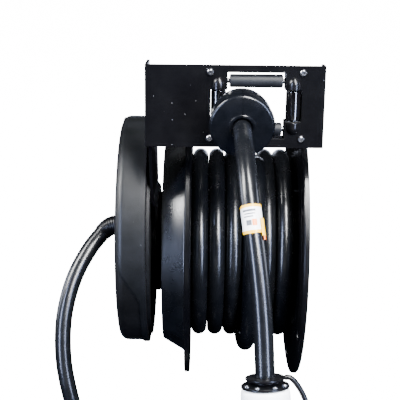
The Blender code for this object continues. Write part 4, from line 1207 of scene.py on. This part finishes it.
@dataclass
class Drum:
    """What turns with the drum: flanges, spring case, shaft, slip rings and ratchet."""

    flange_radius: float = 150.0
    left_face: float = -9.0
    right_face: float = 105.0
    shaft_hole: float = 10.3
    hole_circle: float = 136.0
    hole_radius: float = 6.0
    case_left: float = -40.0
    case_right: float = -11.8
    case_small: float = 112.0
    case_big: float = 126.0

    def build(self) -> None:
        """Build both flanges, the case with its lid and the shaft's fittings."""
        self._flange("left_flange", self.left_face, -1)
        self._flange("right_flange", self.right_face, 1)
        self._case()
        finished(refined("drum_shaft", 0.4), STEEL, Body.DRUM)
        finished(refined("shaft_retainer", 0.8), ZINC, Body.DRUM)

    def _flange(self, node: str, face: float, outward: int) -> None:
        """Spin a flange with two pressed steps and a rolled lip, and pierce its holes.

        Args:
            node: The CAD node that it stands for.
            face: The station of the face that the cable lies against.
            outward: 1 if its outer side faces +X, or -1.
        """
        r = self.flange_radius
        inner = [
            (self.shaft_hole, 0), (112, 0), (114, 0.9), (121, 0.9), (123, 0), (125, 0), (127, 0.9), (129, 0),
            (142.2, 0), (143.6, 0.9), (146.2, 0.9), (147.8, 0.4), (149.3, 0.7), (r, 1.8),
        ]
        outer = [
            (r, 5.4), (149.2, 6.3), (148, 6.5), (146.8, 6.1), (146.2, 5.0), (145.6, 3.2), (144, 2.7),
            (129, 2.5), (self.shaft_hole, 2.5),
        ]
        profile = [(radius, face + outward * depth) for radius, depth in (*inner, *outer)]
        piece = turned(f"{node}_spun", profile, pointing(Along.X), 144, closed=True)
        tools = []
        for number in range(6):
            y, z = polar(self.hole_circle, 90 + 60 * number)
            tools.append(
                turned(
                    "hole", [(0, -12), (self.hole_radius, -12), (self.hole_radius, 12), (0, 12)],
                    pointing(Along.X, face, y, z), 32,
                )
            )
        cut(piece, tools)
        finished(piece, ENAMEL_BLACK, Body.DRUM, (node,), 30)

    def _case(self) -> None:
        """Spin the tapered spring case and the lid in its mouth."""
        left, right, small, big = self.case_left, self.case_right, self.case_small, self.case_big
        profile = [
            (small - 2.2, left), (small - 0.6, left + 0.2), (small + 0.2, left + 1),
            (big - 1.6, right - 6.2), (big - 0.4, right - 5.2), (big, right - 4),
            (big, right - 0.8), (big - 0.8, right), (13, right), (13, right - 2.4), (big - 5, right - 2.4),
            (small - 2.8, left + 0.6),
        ]
        case = turned("spring_canister", profile, pointing(Along.X), 144, closed=True)
        finished(case, POWDER_PEEL, Body.DRUM, ("spring_case",), 34)
        finished(refined("spring_case_lid", 0.5), POWDER_PEEL, Body.DRUM)


# ---------------------------------------------------------------- fixed frame


@dataclass
class Cover:
    """The round cover over the slip rings, its raised skin and its back plate."""

    rise: float = 14.0
    radius: float = 129.0
    left: float = -88.0
    right: float = -55.5
    wall: float = 2.5
    corner: float = 9.0
    lip: float = 112.0
    sunk: float = 1.8
    panel_edge: float = -63.0
    sides: int = 160

    def build(self) -> None:
        """Build the shell, the raised skin round it and the plate behind it."""
        self._shell()
        self._skin()
        finished(refined("cover_back_plate", 0.5), POWDER_CHARCOAL)

    def _shell(self) -> None:
        """Spin the shell with a shallow pressed face, a rounded corner and a turned-in lip."""
        left, right, r = self.left, self.right, self.radius - self.sunk
        profile: list[tuple[float, float]] = [(0, left + 1.4), (58, left + 1.4), (62, left + 0.4), (66, left)]
        profile += [(r - self.corner, left)]
        for degrees in (20, 40, 60, 80):
            back, out = polar(self.corner, degrees)
            profile.append((r - self.corner + out, left + self.corner - back))
        profile += [(r, left + self.corner), (r, right - 1.2), (r - 0.8, right), (self.lip, right)]
        profile += [(self.lip, right - self.wall), (r - self.wall, right - self.wall)]
        profile += [(r - self.wall, left + self.corner), (r - self.corner, left + self.wall)]
        profile += [(0, left + self.wall + 1.4)]
        shell = turned("cover_pressing", profile, pointing(Along.X, z=self.rise), self.sides)
        finished(shell, POWDER_PANEL_PAINTED_SHADE, replaces=("cover_shell",), angle=30)

    def _skin(self) -> None:
        """Lay the raised skin on the rim: full width above, and a narrow band round the sunk panel."""
        left, right, r = self.left, self.right, self.radius
        inner = r - self.sunk - 0.1
        profile = [
            (inner, left + 2.6), (r - 5.2, left + 2.0), (r - 2.6, left + 3.2), (r - 0.8, left + 5.8),
            (r, left + self.corner), (r, right - 0.9), (r - 0.9, right), (inner, right),
        ]
        skin = turned("cover_skin", profile, pointing(Along.X, z=self.rise), self.sides, closed=True)
        middle = axle_point(0, 0, self.rise)
        span = (right - left) * MM
        for vertex in skin.data.vertices:
            offset = vertex.co - middle
            below = self._sunk_share(math.degrees(math.atan2(offset.z, -abs(offset.y))))
            if below <= 0:
                continue
            along = (vertex.co.x - left * MM) / span
            keep = (right - self.panel_edge) / (right - left)
            wanted = 1 - keep + along * keep
            vertex.co.x = left * MM + span * (along + (wanted - along) * below)
            out = math.hypot(offset.y, offset.z)
            full = max(out, (r - (0.8 if along < 0.2 else 0)) * MM if along > 0.05 else out)
            share = 1 + (full / out - 1) * below
            vertex.co.y = middle.y + offset.y * share
            vertex.co.z = middle.z + offset.z * share
        finished(skin, POWDER_CHARCOAL, angle=30)

    @staticmethod
    def _sunk_share(degrees: float) -> float:
        """Return how far the skin has drawn back at an angle.

        Args:
            degrees: The angle round the cover, with the top at 90, the bottom at -90, and both the front and
                the back at 180 or -180.

        Returns:
            0 where the skin is full width and 1 along the sunk panel.
        """
        starts, whole = 3, 24
        below = 180 + degrees
        if degrees >= 0 or below < starts:
            return 0.0
        if below > whole:
            return 1.0
        share = (below - starts) / (whole - starts)
        return share * share * (3 - 2 * share)


@dataclass
class Frame:
    """The fixed frame: wall bracket, arms, hub and their bolts."""

    def build(self) -> None:
        """Round the edges of the sheets and the bolts."""
        sheets = (("wall_bracket", 0.8), ("frame_arm", 0.7), ("guide_arm", 0.6), ("hub_housing", 0.6))
        for node, edge in sheets:
            finished(refined(node, edge), POWDER_BLACK)
        for number in (1, 2):
            finished(refined(f"frame_bolt_{number}", 0.5), ZINC)


@dataclass
class Guide:
    """The guide plate with its roller cage, pressed pockets, rollers and screws."""

    front: float = -125.0
    window_x: float = 54.0
    window_z: float = 176.0
    roller_up: float = 23.7
    roller_aside: float = 37.0
    roller_y: float = -118.0
    lying: tuple[float, float] = (6.5, 52.4)
    standing: tuple[float, float] = (7.5, 29.4)
    screw_across: float = 45.3
    screw_up: float = 32.6
    bore: float = 2.8
    pocket_low: float = 15.8
    pocket_high: float = 28.5
    pocket_inset: float = 1.6

    def build(self) -> None:
        """Build the plate, the cage, the rollers, the pockets and the screws."""
        finished(refined("guide_plate", 0.7, 3), POWDER_BLACK)
        finished(refined("roller_cage", 0.5), ENAMEL_BLACK)
        self._rollers()
        self._pockets()
        self._screws()

    def _rollers(self) -> None:
        """Turn the four rollers with chamfered ends, and round their pins."""
        places = (
            ("top", Along.X, 0, self.roller_up, self.lying, NYLON_GREY, Body.TOP_ROLLER),
            ("bottom", Along.X, 0, -self.roller_up, self.lying, NYLON_GREY, Body.BOTTOM_ROLLER),
            ("left", Along.Z, -self.roller_aside, 0, self.standing, NYLON_POLISHED, Body.LEFT_ROLLER),
            ("right", Along.Z, self.roller_aside, 0, self.standing, NYLON_POLISHED, Body.RIGHT_ROLLER),
        )
        for name, along, aside, up, (radius, length), finish, body in places:
            half = length / 2
            profile = [
                (self.bore, -half), (radius - 1.3, -half), (radius - 0.5, -half + 0.4), (radius, -half + 1.3),
                (radius, half - 1.3), (radius - 0.5, half - 0.4), (radius - 1.3, half), (self.bore, half),
            ]
            place = pointing(along, self.window_x + aside, self.roller_y, self.window_z + up)
            roller = turned(f"{name}_roller_sleeve", profile, place, 64, closed=True)
            finished(roller, finish, body, (f"roller_{name}",))
            finished(refined(f"roller_pin_{name}", 0.4), STEEL)

    def _pockets(self) -> None:
        """Press the four half-round pockets that cover the standing rollers' pin ends."""
        for side in (-1, 1):
            for rise in (-1, 1):
                name = f"pocket_{'left' if side < 0 else 'right'}_{'low' if rise < 0 else 'high'}"
                middle = self.window_z + rise * (self.pocket_low + self.pocket_high) / 2
                half = (self.pocket_high - self.pocket_low) / 2
                profile = [
                    (0, -half), (2.7, -half + 0.5), (4.9, -half + 2), (6.3, -half + 4.2), (7, -half + 7),
                    (7, half - 0.6), (6.4, half), (0, half),
                ]
                x, y = self.window_x + side * self.roller_aside, self.front + self.pocket_inset
                place = pointing(Along.Z, x, y, middle)
                if rise > 0:
                    place = place @ Matrix.Rotation(math.pi, 4, "Y")
                pocket = turned(name, profile, place, 48)
                with editing(pocket):
                    bpy.ops.mesh.bisect(
                        plane_co=axle_point(0, self.front - GAP, 0), plane_no=(0, 1, 0), use_fill=True,
                        clear_outer=True,
                    )
                finished(pocket, ENAMEL_BLACK)

    def _screws(self) -> None:
        """Turn four pan-head screws with a socket."""
        number = 0
        for rise in (1, -1):
            for side in (-1, 1):
                number += 1
                profile = [
                    (0, -1.2), (1.3, -1.2), (1.3, -2.3), (2.4, -2.3), (3.3, -1.7), (3.8, -0.7), (3.8, -0.3),
                    (1.5, -0.3), (1.5, 11), (0, 11),
                ]
                x, z = self.window_x + side * self.screw_across, self.window_z + rise * self.screw_up
                place = pointing(Along.Y, x, self.front, z)
                screw = turned(f"cage_screw_{number}_turned", profile, place, 32)
                finished(screw, BLACKED, replaces=(f"cage_screw_{number}",))


@dataclass
class BallStop:
    """The two-part ball stop clamped on the cable."""

    place: tuple[float, float, float] = (39.0, -134.6, 171.2)
    tilt: float = 14.0
    radius: float = 31.4
    rear: float = 27.0
    length: float = 38.0
    bore: float = 9.1
    parting: float = 0.2
    pocket_circle: float = 34.5

    def build(self) -> None:
        """Build the halves, each cut from one turned shape."""
        for name, side in (("left", -1), ("right", 1)):
            self._half(name, side)

    def _matrix(self) -> Matrix:
        """Return the ball's place, with Z along the cable towards the front."""
        tilt = math.radians(self.tilt)
        way = Vector((0, -math.cos(tilt), -math.sin(tilt)))
        return aimed(way, axle_point(*self.place))

    def _half(self, name: str, side: int) -> None:
        """Turn the ball, keep one half and cut its pockets.

        Args:
            name: left or right.
            side: -1 for the left half and 1 for the right.
        """
        r, length, rear = self.radius, self.length, self.rear
        profile = [
            (self.bore, 0), (rear - 6, 0), (rear - 3, 0.5), (rear - 1, 2), (rear, 4.5), (29, 12), (30.1, 18),
            (30.5, 24), (30.7, 29.3), (31.3, 30), (r, 31.2), (r, 33.4), (31.0, 34.8), (30.0, 35.7),
            (28.5, 36.3), (22, 36.9), (14.5, 37.2), (13.2, 37.4), (12.6, length), (11.2, length),
            (10.2, 37.4), (self.bore, 36.2),
        ]
        half = turned(f"ball_{name}", profile, self._matrix(), 96, closed=True)
        x = self.place[0]
        with editing(half):
            bpy.ops.mesh.bisect(
                plane_co=axle_point(x + side * self.parting, 0, 0),
                plane_no=(-side, 0, 0),
                use_fill=True,
                clear_outer=True,
            )
        tools = []
        for degrees, along in ((158, 20), (22, 20), (62, 17), (118, 17)):
            if math.cos(math.radians(degrees)) * side < 0:
                continue
            a, b = polar(self.pocket_circle, degrees)
            place = self._matrix() @ Matrix.Translation((a * MM, b * MM, along * MM))
            tools.append(
                turned(
                    "pocket_tool", [(0, -9), (5, -7.4), (8, -4), (9, 0), (8, 4), (5, 7.4), (0, 9)], place, 32
                )
            )
        cut(half, tools)
        finished(half, STOP_RUBBER, replaces=(f"ball_half_{name}",), angle=34)


def dress_cad() -> None:
    """Give every CAD node that still shows its finish by material slot."""
    slots = {part["node"]: part["material_slot"] for part in frame["record"]["subparts"]}
    for name, node in frame["nodes"].items():
        finish = SLOT_FINISHES[slots[name]]
        material = finish.material()
        if node.material_slots:
            for place in node.material_slots:
                place.material = material
        else:
            node.data.materials.append(material)


def main() -> None:
    """Build the studio and every sub-assembly in order, then dress the CAD nodes by material slot."""
    logging.basicConfig(level=logging.INFO, format="%(message)s")
    Studio().build()
    SupplyLead().build()
    PulledCable().build()
    Windings().build()
    Drum().build()
    Cover().build()
    Frame().build()
    Guide().build()
    BallStop().build()
    dress_cad()
    only(None)


if __name__ == "__main__":
    main()
